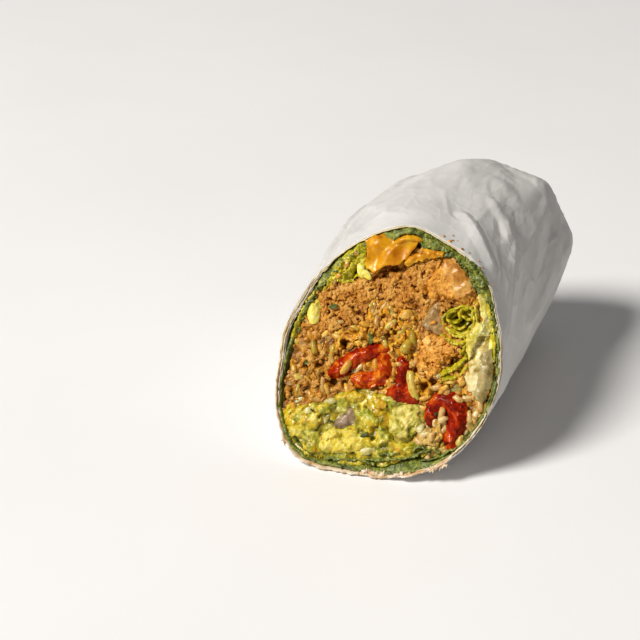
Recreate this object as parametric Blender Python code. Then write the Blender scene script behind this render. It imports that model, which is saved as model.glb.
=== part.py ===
"""Half of a turkey wrap, cut across and lying on its side in its white paper.

The roll lies along +Y, with +X to the right and +Z up. Its slanting cut face looks towards -Y and
leans back, and its far end is folded shut. The origin is on the surface the roll lies on, under the
middle of the cut face. Everything is in metres.

Places on the cut face are given in millimetres in the plane of the cut: u to the right and v up the
slope, from the middle of the face. Every filling is a prism that runs from the cut to the closed
end, so fillings that are clear of each other on the face are clear all the way.
"""

import math
import random

import bmesh
import bpy
from mathutils import Euler, Matrix, Vector, noise
from mathutils.geometry import delaunay_2d_cdt

MM = 0.001
FULL_TURN = 2 * math.pi

# The roll: 16 outer radii of the tortilla, every 22.5 degrees anticlockwise from +X.
TORTILLA_RADII_MM = (38.7, 38.4, 40.0, 38.9, 40.1, 38.2, 37.2, 36.0,
                     37.4, 41.6, 42.8, 36.8, 33.8, 34.4, 36.8, 37.9)
CENTRE_HEIGHT = 0.0342
ROLL_LENGTH = 0.120
CAP_LENGTH = 0.0645
CAP_START = ROLL_LENGTH - CAP_LENGTH
CAP_POWER = 3.0
LAST_CLOSING = 0.985
GROWTH = 0.98
END_DRIFT = 0.0188
END_RISE = 0.0047
CUT_TILT = math.radians(31.1)

# Layers, from outside in.
GAP = 0.0004
PAPER_WALL = 0.0008
TORTILLA_WALL = 0.0018
TORTILLA_INSET = PAPER_WALL + GAP
PAPER_BULGE = 0.0020
PAPER_BULGE_ANGLE = 170
PAPER_BULGE_WIDTH = 16
PAPER_BULGE_FADE = (0.010, 0.050)
PAPER_SEAM = 0.0009
PAPER_SEAM_ANGLE = 141
PAPER_SEAM_FADE = 110

# Creases of the paper: their depth, how many fit round and along the roll, the share of their depth
# near the cut, and from where to where along the roll they grow to all of it.
CREASE_DEPTH = 0.0016
CREASES_ROUND = 1.6
CREASES_ALONG = 34
CREASE_NEAR_CUT = 0.45
CREASE_GROWTH = (0.015, 0.085)

# Doubled and rumpled places in the tortilla: angle and half width in degrees, extra thickness.
TORTILLA_FOLDS = (
    (76, 7, 0.0028),
    (47, 9, 0.0026),
    (135, 13, 0.0013),
    (248, 10, 0.0006),
    (294, 17, 0.0036),
    (345, 24, 0.0009),
)

# The folded end of the paper: the angles of its corners, where along the roll they come up and by
# how much the sides are let out, how deep its pleats step and how deep its middle is tucked in.
END_CORNERS = (14, 53, 93, 131, 172, 216, 262, 318)
END_CORNERS_FADE = (0.060, 0.104)
END_LET_OUT = 1.035
PLEAT_STEP = 0.0016
TUCK_DEPTH = 0.0030

# Over the closing end, which runs from 0 to 1: where the pleats come and go, and where it is tucked.
PLEATS_COME = (0.45, 0.75)
PLEATS_GO = (0.80, 1.0)
TUCK_FADE = (0.72, 1.0)
INSIDE_TUCK_FADE = (0.30, 0.75)

# The space for the fillings.
FILL_GROWTH = 0.40
FILL_FLOOR = -0.0310
FILL_ROWS = ((CAP_START, 1.0), (0.100, 0.80))

# How finely the surfaces are split.
SIDES = 56
PAPER_ROWS = 8
LINING_ROWS = 3
CAP_ROWS = 6
CROSS_GRID_MM = 3.0
CROSS_GRID_JITTER = 0.3
CROSS_GRID_REACH = 17
SAME_POINT_MM = 0.02

# An outline gets a point more between two corners where its turning times its length, in radians
# times millimetres, is over this.
ROUND_OFF = 3.2

# Rice grains, how many show in each heap of rice, and how far apart their middles are.
GRAIN_LENGTH = 0.0062
GRAIN_WIDTH = 0.0023
GRAIN_COUNTS = {"rice_middle": 28, "rice_left": 14, "rice_right": 8, "rice_edge": 4}
GRAINS_APART_MM = 2.5
GRAIN_MARGIN_MM = 0.4

# How far in from a filling's edge its cut face is rounded, in millimetres.
EDGE_REACH_MM = 1.8


# ---------------------------------------------------------------- the form of the roll

def around(values, angle):
    """Smooth closed curve through evenly spaced values, at an angle in radians."""
    count = len(values)
    place = (angle % FULL_TURN) / FULL_TURN * count
    first = int(place)
    t = place - first
    a, b, c, d = (values[(first + step) % count] for step in (-1, 0, 1, 2))
    return b + 0.5 * t * (c - a + t * (2 * a - 5 * b + 4 * c - d + t * (3 * (b - c) + d - a)))


def angle_apart(angle, degrees):
    """Signed difference in degrees between an angle in radians and one in degrees."""
    return (math.degrees(angle) - degrees + 180) % 360 - 180


def hump(angle, degrees, half_width):
    """Smooth rise to 1 at an angle, which fades over a half width, in degrees."""
    return math.exp(-(angle_apart(angle, degrees) / half_width) ** 2)


def smooth(low, high, value):
    t = min(max((value - low) / (high - low), 0.0), 1.0)
    return t * t * (3 - 2 * t)


def cap_share(s):
    """How far along the closing cap a distance s lies, from 0 to 1."""
    return min(max((s - CAP_START) / CAP_LENGTH, 0.0), 1.0)


def drift(s):
    """Sideways and upward shift of the roll's middle towards its closed end."""
    share = cap_share(s) ** 2
    return END_DRIFT * share, END_RISE * share


def end_fold(angle, s):
    """Turns the round section into one with corners towards the folded end."""
    corners = [math.radians(degrees) for degrees in END_CORNERS]
    turned = angle % FULL_TURN
    after = next((c for c in corners if c > turned), corners[0] + FULL_TURN)
    if turned < corners[0]:
        turned += FULL_TURN
        after = corners[0] + FULL_TURN
    before = max(c for c in corners if c <= turned)
    half = (after - before) / 2
    straight = math.cos(half) / math.cos(turned - before - half)
    return 1 + smooth(*END_CORNERS_FADE, s) * (straight * END_LET_OUT - 1)


def skin(angle, s, closing, inset):
    """Point on the roll's surface, moved in by inset; closing runs from 0 to 1 over the cap."""
    radius = around(TORTILLA_RADII_MM, angle) * MM + TORTILLA_INSET
    if closing > 0:
        turn = closing * math.pi / 2
        s = CAP_START + (CAP_LENGTH - inset) * math.sin(turn) ** (2 / CAP_POWER)
        shrink = max(math.cos(turn), 0.0) ** (2 / CAP_POWER)
    else:
        shrink = 1
    size = (radius * (1 + GROWTH * s) * end_fold(angle, s) - inset) * shrink
    shift_x, shift_z = drift(s)
    x = size * math.cos(angle) + shift_x
    z = CENTRE_HEIGHT + size * math.sin(angle) + shift_z
    return Vector((x, s, max(z, inset)))


def cut_at(height):
    """Distance along the roll where the cut plane passes at a height."""
    return (height - CENTRE_HEIGHT) * math.tan(CUT_TILT)


def skin_front(angle, inset):
    """Distance along the roll where the surface meets the cut plane."""
    s = 0.0
    for _ in range(6):
        s = cut_at(skin(angle, s, 0, inset).z)
    return s


def skin_rows(inset, body_rows):
    """Rings of points over the roll's surface, from the cut to just short of the end's middle."""
    angles = [FULL_TURN * side / SIDES for side in range(SIDES)]
    fronts = [skin_front(angle, inset) for angle in angles]
    rows = []
    for row in range(body_rows + 1):
        t = row / body_rows
        rows.append([(angle, front + (CAP_START - front) * t, 0.0)
                     for angle, front in zip(angles, fronts)])
    for row in range(1, CAP_ROWS + 1):
        closing = 1 - 0.90 * (1 - row / CAP_ROWS) ** 1.2 - 0.10 * (row < CAP_ROWS)
        closing = min(closing, LAST_CLOSING)
        rows.append([(angle, 0.0, closing) for angle in angles])
    return rows


# ---------------------------------------------------------------- meshes

def material(name, colour, roughness):
    made = bpy.data.materials.new(name)
    made.use_nodes = True
    shader = made.node_tree.nodes["Principled BSDF"]
    shader.inputs["Base Color"].default_value = (*colour, 1)
    shader.inputs["Roughness"].default_value = roughness
    shader.inputs["Metallic"].default_value = 0.0
    made.diffuse_color = (*colour, 1)
    return made


def add_object(name, mesh_data, colour, roughness):
    bmesh.ops.recalc_face_normals(mesh_data, faces=mesh_data.faces)
    mesh = bpy.data.meshes.new(name)
    mesh_data.to_mesh(mesh)
    mesh_data.free()
    mesh.shade_smooth()
    mesh.set_sharp_from_angle(angle=math.radians(35))
    mesh.materials.append(material(name, colour, roughness))
    made = bpy.data.objects.new(name, mesh)
    bpy.context.collection.objects.link(made)
    return made


def join_rings(mesh_data, first, second):
    """Quads between two rings of the same count."""
    for side in range(len(first)):
        after = (side + 1) % len(first)
        mesh_data.faces.new((first[side], first[after], second[after], second[side]))


def add_surface(mesh_data, rings):
    """A surface of rings of points; returns its rings of vertices."""
    verts = [[mesh_data.verts.new(point) for point in ring] for ring in rings]
    for first, second in zip(verts, verts[1:]):
        join_rings(mesh_data, first, second)
    return verts


def close_with_point(mesh_data, ring, point):
    tip = mesh_data.verts.new(point)
    for side in range(len(ring)):
        mesh_data.faces.new((ring[side], ring[(side + 1) % len(ring)], tip))


def middle(ring):
    return sum(ring, Vector()) / len(ring)


# ---------------------------------------------------------------- paper

def paper_stand(angle, s):
    """How far the paper stands off the tortilla, as the loose side by the cut does."""
    near_cut = 1 - smooth(*PAPER_BULGE_FADE, s)
    return PAPER_BULGE * hump(angle, PAPER_BULGE_ANGLE, PAPER_BULGE_WIDTH) * near_cut


def paper_relief(angle, s):
    """Outward relief of the paper: the overlap's edge, soft dents and creases."""
    past_seam = (math.degrees(angle) - PAPER_SEAM_ANGLE) % 360
    seam = PAPER_SEAM * max(0.0, 1 - past_seam / PAPER_SEAM_FADE)
    where = Vector((math.cos(angle) * CREASES_ROUND, math.sin(angle) * CREASES_ROUND,
                    s * CREASES_ALONG))
    dents = 0.5 + 0.5 * noise.noise(where + Vector((3.1, 7.7, 0.4)))
    folds = 1 - abs(noise.noise(where * 1.7 + Vector((0.0, 2.0, 9.0))))
    strength = CREASE_NEAR_CUT + (1 - CREASE_NEAR_CUT) * smooth(*CREASE_GROWTH, s)
    lying = smooth(0.0, 0.5, 1 + math.sin(angle) * 1.25)
    return (seam + CREASE_DEPTH * strength * dents * folds) * lying


def pleat(angle, closing):
    """Steps of the flaps folded over each other on the closed end, and the tuck in its middle."""
    corners = [math.radians(degrees) for degrees in END_CORNERS]
    turned = angle % FULL_TURN
    before = max((c for c in corners if c <= turned), default=corners[-1] - FULL_TURN)
    after = min((c for c in corners if c > turned), default=corners[0] + FULL_TURN)
    saw = (turned - before) / (after - before)
    flap = smooth(*PLEATS_COME, closing) * (1 - smooth(*PLEATS_GO, closing))
    return -PLEAT_STEP * saw * flap - TUCK_DEPTH * smooth(*TUCK_FADE, closing)


def make_paper():
    data = bmesh.new()
    outer = []
    for row in skin_rows(0, PAPER_ROWS):
        ring = []
        for angle, s, closing in row:
            base = skin(angle, s, closing, 0)
            out = paper_stand(angle, base.y) + paper_relief(angle, base.y)
            out *= 1 - smooth(*PLEATS_GO, closing)
            point = skin(angle, s, closing, -out)
            point.z = max(point.z, 0.0)
            point.y += pleat(angle, closing) if closing > 0 else 0.0
            ring.append(point)
        outer.append(ring)
    inner = []
    for row in skin_rows(PAPER_WALL, LINING_ROWS):
        ring = []
        for angle, s, closing in row:
            base = skin(angle, s, closing, PAPER_WALL)
            point = skin(angle, s, closing, PAPER_WALL - paper_stand(angle, base.y))
            point.z = max(point.z, PAPER_WALL)
            point.y -= end_tuck(closing)
            ring.append(point)
        inner.append(ring)
    outer_verts = add_surface(data, outer)
    close_with_point(data, outer_verts[-1], middle(outer[-1]))
    inner_verts = add_surface(data, inner)
    close_with_point(data, inner_verts[-1], middle(inner[-1]))
    join_rings(data, outer_verts[0], inner_verts[0])
    return add_object("paper_wrap", data, (0.86, 0.85, 0.83), 0.6)


def end_tuck(closing):
    """How far everything under the paper stays back from the pleats and the tuck."""
    return (PLEAT_STEP + TUCK_DEPTH) * smooth(*INSIDE_TUCK_FADE, closing)


# ---------------------------------------------------------------- places inside the tortilla

def fill_scale(s):
    """Size of the filled space along the roll, with 1 at the middle of the cut."""
    return 1 + FILL_GROWTH * s


def place(p, q, s, squeeze=1.0):
    """World point of a place p, q in the filled section at a distance s along the roll."""
    scale = fill_scale(s) * squeeze
    shift_x, shift_z = drift(s)
    return Vector((p * scale + shift_x, s, CENTRE_HEIGHT + q * scale + shift_z))


def to_section(u, v):
    """Place in the filled section of a point u, v in millimetres on the cut face."""
    scale = fill_scale(v * MM * math.sin(CUT_TILT))
    return u * MM / scale, v * MM * math.cos(CUT_TILT) / scale


def to_face(p, q):
    """Inverse of to_section."""
    u, v = p / MM, q / MM / math.cos(CUT_TILT)
    for _ in range(4):
        scale = fill_scale(v * MM * math.sin(CUT_TILT))
        u, v = p * scale / MM, q * scale / MM / math.cos(CUT_TILT)
    return u, v


def tortilla_wall(angle):
    return TORTILLA_WALL + sum(extra * hump(angle, degrees, width)
                               for degrees, width, extra in TORTILLA_FOLDS)


def lining(inset):
    """Outline of the filled section, moved in by inset."""
    outline = []
    for side in range(SIDES):
        angle = FULL_TURN * side / SIDES
        radius = around(TORTILLA_RADII_MM, angle) * MM - tortilla_wall(angle) - inset
        q = max(radius * math.sin(angle), FILL_FLOOR + inset)
        outline.append((radius * math.cos(angle), q))
    return outline


def make_tortilla():
    data = bmesh.new()
    outer = []
    for row in skin_rows(TORTILLA_INSET, LINING_ROWS):
        ring = []
        for angle, s, closing in row:
            point = skin(angle, s, closing, TORTILLA_INSET)
            point.y -= end_tuck(closing)
            ring.append(point)
        outer.append(ring)
    space = lining(0)
    inner = [[place(p, q, cut_at(CENTRE_HEIGHT + q)) for p, q in space]]
    for s, squeeze in FILL_ROWS:
        reach = s + (GAP if s == FILL_ROWS[-1][0] else 0.0)
        inner.append([place(p, q, reach, squeeze) for p, q in space])
    outer_verts = add_surface(data, outer)
    close_with_point(data, outer_verts[-1], middle(outer[-1]))
    inner_verts = add_surface(data, inner)
    close_with_point(data, inner_verts[-1], middle(inner[-1]))
    join_rings(data, outer_verts[0], inner_verts[0])
    return add_object("tortilla", data, (0.13, 0.22, 0.05), 0.6)


# ---------------------------------------------------------------- outlines on the cut face

def patch(*corners):
    """Closed outline through a few corners, rounded where it turns."""
    outline = []
    count = len(corners)
    for index in range(count):
        a, b, c, d = (Vector(corners[(index + step) % count]) for step in (-1, 0, 1, 2))
        outline.append(b)
        turning = abs((b - a).angle_signed(c - b)) + abs((c - b).angle_signed(d - c))
        if turning * (c - b).length > ROUND_OFF:
            outline.append((b + c) * 0.5625 - (a + d) * 0.0625)
    return outline


def oval(u, v, half_width, half_height, tilt):
    turned = math.radians(tilt)
    outline = []
    for step in range(12):
        angle = FULL_TURN * step / 12
        x = half_width * math.cos(angle)
        y = half_height * math.sin(angle)
        outline.append(Vector((u + x * math.cos(turned) - y * math.sin(turned),
                               v + x * math.sin(turned) + y * math.cos(turned))))
    return outline


def strip(path, widths):
    """Outline of a band along a path, with its width at each point of the path."""
    points = [Vector(point) for point in path]
    left, right = [], []
    for index, point in enumerate(points):
        before = points[max(index - 1, 0)]
        after = points[min(index + 1, len(points) - 1)]
        along = (after - before).normalized()
        side = Vector((-along.y, along.x)) * widths[index] / 2
        left.append(point + side)
        right.append(point - side)
    end = (points[-1] - points[-2]).normalized() * widths[-1] / 2
    start = (points[0] - points[1]).normalized() * widths[0] / 2
    return patch(*[points[0] + start, *right, points[-1] + end, *reversed(left)])


def curl(u, v, radius, turns, pitch, thickness):
    """Outline of a thin leaf rolled into a spiral."""
    steps = int(turns * 12)
    outer, inner = [], []
    for step in range(steps + 1):
        angle = math.radians(200) - FULL_TURN * turns * step / steps
        reach = radius - pitch * turns * step / steps
        wave = 1 + 0.08 * math.sin(3 * angle)
        for ring, offset in ((outer, thickness / 2), (inner, -thickness / 2)):
            ring.append(Vector((u + (reach * wave + offset) * math.cos(angle),
                                v + (reach * wave * 0.92 + offset) * math.sin(angle))))
    return outer + inner[::-1]


# Every filling, with those that lie over others first: name, outline on the face, how far it stands
# out of the cut, how much it is rounded, height of its lumps, size of its lumps (all mm), colour.
RED, GREEN, YELLOW = (0.42, 0.02, 0.01), (0.20, 0.28, 0.02), (0.72, 0.62, 0.10)
CHEESE, MEAT, RICE = (0.75, 0.35, 0.02), (0.40, 0.19, 0.06), (0.62, 0.45, 0.16)
FILLINGS = (
    ("pepper_long", strip([(-19.4, -6.0), (-15.5, -3.0), (-11, 0.6), (-7, 3.2), (-3, 4.2)],
                          [3.2, 5.0, 4.6, 3.2, 1.8]), 0.8, 1.2, 0.4, 4, RED),
    ("pepper_short", strip([(-2.8, 0.8), (-2.0, -3.0), (-3.2, -6.6), (-7, -7.4), (-10.6, -7.2)],
                           [3.6, 4.6, 5.0, 4.8, 4.2]), 0.2, 1.0, 0.5, 4, (0.48, 0.06, 0.01)),
    ("pepper_right", patch((3.4, 1.4), (6.2, 0.6), (6.4, -4), (7.6, -7.6), (11.4, -11.8), (6, -12.2),
                           (1.4, -11.2), (2.2, -9.4), (4, -7.8), (4, -3.5)), 0.4, 1.0, 0.4, 4, RED),
    ("pepper_hook", strip([(17.4, -17.5), (17.4, -12.8), (20.4, -10), (24.4, -11), (26.4, -15),
                           (26, -20), (25.2, -24), (26, -27.4)],
                          [2.2, 3.2, 3.4, 4.6, 4.4, 4.2, 3.0, 1.8]), 0.9, 1.2, 0.5, 4, RED),
    ("cheese_sheet", patch((-14.5, 41), (-10, 42.4), (-5, 44), (-1, 45.6), (4, 45.4), (5.4, 43.6),
                           (2.8, 42), (1.2, 38.6), (-1, 35.6), (-6, 34.4), (-9.2, 31.2),
                           (-12, 30.6), (-13.6, 34), (-14.2, 38)), 1.2, 1.4, 1.0, 7, CHEESE),
    ("cheese_strip", strip([(2.6, 36.8), (5.5, 38.4), (9, 39.4), (13.5, 39.7)],
                           [2.4, 3.2, 2.6, 1.6]), 0.8, 0.9, 0.5, 5, CHEESE),
    ("avocado_piece_left", oval(-30.2, 14.6, 1.9, 4.1, -6), 0.6, 1.0, 0.2, 4, YELLOW),
    ("onion_piece", patch((14.2, 23.2), (11.6, 20.6), (9.8, 17.4), (9.4, 14.2), (13, 12.9),
                          (17, 12.2), (16.6, 15), (15, 18.5)), 0.5, 0.6, 0.3, 5, (0.5, 0.36, 0.17)),
    ("lettuce_curl", curl(22.4, 17.6, 5.6, 1.9, 1.9, 0.9), 1.0, 0.2, 0.5, 6, GREEN),
    ("lettuce_leaf", strip([(18.8, -1.6), (21.6, 0.4), (24.6, 3.2), (26.8, 5.6)],
                           [2.0, 2.8, 2.6, 1.4]), 0.0, 0.6, 0.6, 4, GREEN),
    ("lettuce_band", strip([(29.0, 26.6), (30.2, 22.6), (32.9, 18), (34.6, 13), (35.2, 8)],
                           [2.2, 2.8, 2.6, 2.0, 1.4]), 0.0, 0.6, 0.4, 5, (0.42, 0.42, 0.03)),
    ("lettuce_rib", patch((28.5, 16.6), (30.4, 17.6), (32.2, 14.6), (33.2, 10), (33.8, 5.4), (35, 1),
                          (34.6, -4), (32, -6.2), (29, -5.4), (27.6, -2), (28, 2.5), (27.8, 6),
                          (26.2, 8.5), (26.6, 12)), 0.3, 0.8, 0.9, 7, (0.72, 0.66, 0.32)),
    ("red_onion_piece", patch((-16.8, -24.2), (-14.6, -21), (-11.6, -18.2), (-9.8, -19.6),
                              (-9.6, -22.4), (-11.6, -24.4), (-14.6, -25)),
     0.5, 0.7, 0.3, 4, (0.34, 0.24, 0.19)),
    ("avocado_piece_lower", patch((-20.5, -31.5), (-18.4, -27.2), (-14.4, -26.2), (-9, -26.2),
                                  (-5.2, -27.6), (-4.8, -30.4), (-8, -32.8), (-14, -33.4),
                                  (-19, -33.2)), 0.6, 1.0, 0.7, 5, YELLOW),
    ("avocado_lump", patch((4.4, -15.2), (8, -13.6), (12.2, -14), (14.6, -16.8), (13.6, -21),
                           (11.4, -25.2), (7.4, -27.2), (3.8, -24.6), (2.8, -20)),
     0.3, 1.2, 0.9, 5, (0.62, 0.58, 0.12)),
    ("turkey_chunk_upper", patch((10.5, 25), (9.5, 30), (12.5, 35.4), (16, 38.4), (18.6, 38),
                                 (21.2, 35), (24, 31), (26, 28), (26.2, 25), (23, 23.6), (19, 25),
                                 (15.5, 25.6), (13.5, 24.4)),
     1.0, 0.9, 1.2, 5, (0.55, 0.30, 0.10)),
    ("turkey_chunk_lower", patch((11, 11.2), (15, 11.4), (18.6, 12.2), (21.6, 10.6), (23.2, 8),
                                 (22.2, 5), (19.6, 3), (18, 0), (16.4, -2.2), (13, -2), (11.2, 0),
                                 (10, 4), (10.2, 8)), 0.8, 0.9, 1.3, 4, (0.50, 0.26, 0.08)),
    ("lettuce_upper", patch((-26.4, 30.2), (-24, 33.8), (-20, 37), (-16, 39.6), (-14.8, 37),
                            (-13.8, 32.5), (-13.4, 30), (-15.5, 28.2), (-20, 26.8), (-25, 27.6)),
     0.3, 0.6, 1.5, 4, (0.38, 0.42, 0.03)),
    ("rice_middle", patch((-21, 9), (-16, 11.5), (-11.6, 14), (-10.6, 20), (-6, 22), (-2, 19), (3, 20),
                          (7, 18), (8.6, 13), (9.2, 6), (9.6, 0), (12, -3.4), (18, -3.6),
                          (24, -3.2), (29.5, -6.8), (33, -7.8), (32.6, -11.4), (28, -10.6), (24, -8),
                          (18.4, -9), (15.4, -12.4), (8, -12.8), (0, -12), (-7, -10.4),
                          (-13.4, -9.8), (-14.6, -6), (-12, -1), (-20, 0), (-21.6, 4)),
     -0.6, 0.4, 0.9, 5, RICE),
    ("rice_left", patch((-37, 4), (-33, 6.2), (-27, 7.2), (-22.6, 6), (-18, 2), (-10, -4),
                        (-12, -11), (-16, -13), (-19.6, -16), (-26, -18), (-32, -19), (-38, -19)),
     -0.4, 0.4, 1.1, 5, (0.50, 0.28, 0.05)),
    ("rice_edge", patch((27.4, -10.4), (33, -11.8), (36.5, -9), (35, -17), (31, -26), (26.4, -29.4),
                        (26, -24), (27, -17)), -0.5, 0.5, 0.9, 5, (0.60, 0.46, 0.20)),
    ("rice_right", patch((11, -12), (14, -15.6), (14.6, -18), (14.4, -21), (12.4, -26.4),
                         (16, -29), (20, -30), (25, -31), (26, -24), (27, -17), (24, -10)),
     -0.5, 0.4, 0.9, 5, (0.64, 0.50, 0.20)),
    ("guacamole", patch((-39, -18), (-32, -18.6), (-26, -17.6), (-20, -15.8), (-17, -12.6),
                        (-13, -10.2), (-6, -10.6), (2, -12.2), (10, -12.6), (16, -13), (17, -20),
                        (15, -28), (20, -31), (14, -40), (-20, -44), (-42, -34)),
     0.0, 0.6, 1.5, 6, (0.52, 0.50, 0.04)),
    ("ground_turkey", None, 0.0, 0.5, 1.5, 4, MEAT),
)

# Dark hollows in the cut face: u, v, radius and depth in millimetres.
PITS = ((-17.8, 31.0, 1.8, 4.0), (-5.5, 33.2, 1.4, 4.0), (-1.0, 33.6, 1.4, 4.0), (3.6, 42.6, 1.6, 5.0),
        (20.6, 38.2, 1.8, 5.0), (-17.2, 4.8, 1.2, 3.0), (22.0, 3.4, 1.5, 4.5), (26.0, 7.8, 1.2, 4.0),
        (32.2, 11.2, 1.6, 3.0), (31.5, 1.4, 0.9, 2.5), (-19.0, -9.2, 1.2, 3.5), (-12.0, -16.8, 1.6, 2.5),
        (30.6, -21.4, 1.4, 4.0), (24.0, -26.4, 1.2, 3.0), (1.5, -26.8, 1.2, 2.5), (0.5, 11.0, 1.1, 2.5))


# ---------------------------------------------------------------- laying out the cut face

def grown(outline, by):
    """Outline moved out by a distance."""
    area = sum(a.cross(b) for a, b in zip(outline, outline[1:] + outline[:1]))
    turn = 1 if area > 0 else -1
    moved = []
    for index, point in enumerate(outline):
        first = (point - outline[index - 1]).normalized()
        second = (outline[(index + 1) % len(outline)] - point).normalized()
        out = Vector((first.y + second.y, -first.x - second.x)).normalized() * turn
        flare = max((1 + first.dot(second)) / 2, 0.25) ** 0.5
        moved.append(point + out * by / flare)
    return moved


def inside(outline, u, v):
    """Whether a point lies inside a closed outline."""
    odd = False
    previous = outline[-1]
    for point in outline:
        if (point.y > v) != (previous.y > v):
            if u < (previous.x - point.x) * (v - point.y) / (previous.y - point.y) + point.x:
                odd = not odd
        previous = point
    return odd


def split_face():
    """Splits the face into triangles that respect every outline, and shares them out by filling."""
    rim = [Vector(to_face(p, q)) for p, q in lining(GAP)]
    outlines = [rim if outline is None else outline for _, outline, *_ in FILLINGS]
    clear = GAP / MM
    loops = [rim]
    for outline in outlines[:-1]:
        loops += [outline, grown(outline, clear)]
    points, edges = [], []
    for loop in loops:
        start = len(points)
        points += loop
        edges += [(start + step, start + (step + 1) % len(loop)) for step in range(len(loop))]
    chance = random.Random(5)
    for column in range(2 - CROSS_GRID_REACH, CROSS_GRID_REACH - 1):
        for row in range(2 - CROSS_GRID_REACH, CROSS_GRID_REACH + 1):
            u = (column + chance.uniform(-CROSS_GRID_JITTER, CROSS_GRID_JITTER)) * CROSS_GRID_MM
            v = (row + chance.uniform(-CROSS_GRID_JITTER, CROSS_GRID_JITTER)) * CROSS_GRID_MM
            if inside(rim, u, v):
                points.append(Vector((u, v)))
    verts, _, faces, *_ = delaunay_2d_cdt(points, edges, [], 0, SAME_POINT_MM, False)
    shares = {name: [] for name, *_ in FILLINGS}
    kept_off = [grown(outline, clear * 0.9) for outline in outlines[:-1]] + [rim]
    for face in faces:
        centre = sum((verts[index] for index in face), Vector((0, 0))) / 3
        if not inside(rim, *centre):
            continue
        for (name, *_), outline, keep in zip(FILLINGS, outlines, kept_off):
            if inside(outline, *centre):
                shares[name].append(tuple(face))
                break
            if inside(keep, *centre):
                break
    return verts, shares


def edges_of(face):
    return [tuple(sorted((face[step], face[(step + 1) % 3]))) for step in range(3)]


def largest_patch(faces):
    """The largest group of faces joined along edges."""
    by_edge = {}
    for face in faces:
        for edge in edges_of(face):
            by_edge.setdefault(edge, []).append(face)
    left, best = set(faces), []
    while left:
        group, queue = [], [left.pop()]
        while queue:
            face = queue.pop()
            group.append(face)
            for edge in edges_of(face):
                for other in by_edge[edge]:
                    if other in left:
                        left.discard(other)
                        queue.append(other)
        if len(group) > len(best):
            best = group
    return best


def without_pinches(faces):
    """Drops the smaller side of every place where a patch touches itself at a single point."""
    faces = largest_patch(faces)
    while True:
        at_vertex = {}
        for face in faces:
            for index in face:
                at_vertex.setdefault(index, []).append(face)
        dropped = set()
        for index, ring in at_vertex.items():
            spokes = [face for face in ring if face not in dropped]
            fan = [spokes.pop()] if spokes else []
            grew = True
            while grew:
                grew = False
                for face in list(spokes):
                    if any(len(set(face) & set(other)) == 2 for other in fan):
                        spokes.remove(face)
                        fan.append(face)
                        grew = True
            if spokes:
                dropped |= set(spokes if len(spokes) <= len(fan) else fan)
        if not dropped:
            return faces
        faces = largest_patch([face for face in faces if face not in dropped])


# ---------------------------------------------------------------- fillings

def pit_depth(u, v):
    return sum(depth * math.exp(-((u - a) ** 2 + (v - b) ** 2) / size ** 2)
               for a, b, size, depth in PITS)


def relief(point, to_edge, proud, rounding, lumps, lump_size, seed):
    """How far the cut face stands out at a point, in millimetres."""
    where = Vector((point.x / lump_size, point.y / lump_size, seed))
    edge = 1 - min(to_edge / EDGE_REACH_MM, 1.0)
    return proud - rounding * edge ** 2 + lumps * noise.noise(where) - pit_depth(point.x, point.y)


def make_filling(verts, faces, name, look, seed):
    proud, rounding, lumps, lump_size, colour = look
    faces = without_pinches(faces)
    uses = {}
    for face in faces:
        for step in range(3):
            edge = (face[step], face[(step + 1) % 3])
            uses.setdefault(tuple(sorted(edge)), []).append(edge)
    rim = [edges[0] for edges in uses.values() if len(edges) == 1]
    on_rim = {index for edge in rim for index in edge}
    data = bmesh.new()
    front = {}
    for index in {index for face in faces for index in face}:
        point = verts[index]
        if index in on_rim:
            to_edge = 0
        else:
            to_edge = min((point - verts[other]).length for other in on_rim)
        out = relief(point, to_edge, proud, rounding, lumps, lump_size, seed) * MM
        p, q = to_section(point.x, point.y)
        front[index] = data.verts.new(place(p, q, cut_at(CENTRE_HEIGHT + q) - out))
    for face in faces:
        data.faces.new([front[index] for index in face])
    ring = front
    for s, squeeze in FILL_ROWS:
        behind = {index: data.verts.new(place(*to_section(*verts[index]), s, squeeze))
                  for index in on_rim}
        for a, b in rim:
            data.faces.new((ring[b], ring[a], behind[a], behind[b]))
        ring = behind
    data.edges.ensure_lookup_table()
    back = [data.edges.get((ring[a], ring[b])) for a, b in rim]
    bmesh.ops.triangle_fill(data, edges=back, use_beauty=True, use_dissolve=False)
    return add_object(name, data, colour, 0.5)


def grain_mesh(seed):
    """A low-sided rice grain along X."""
    data = bmesh.new()
    turned = Matrix.Rotation(math.pi / 2, 4, "Y")
    bmesh.ops.create_uvsphere(data, u_segments=5, v_segments=3, radius=0.5, matrix=turned)
    chance = random.Random(seed)
    bend = chance.uniform(-0.1, 0.1)
    for vert in data.verts:
        vert.co.z += bend * (vert.co.x * 2) ** 2
        vert.co.x *= GRAIN_LENGTH * chance.uniform(0.95, 1.05)
        vert.co.y *= GRAIN_WIDTH
        vert.co.z *= GRAIN_WIDTH
    mesh = bpy.data.meshes.new("grain")
    data.to_mesh(mesh)
    data.free()
    return mesh


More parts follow.
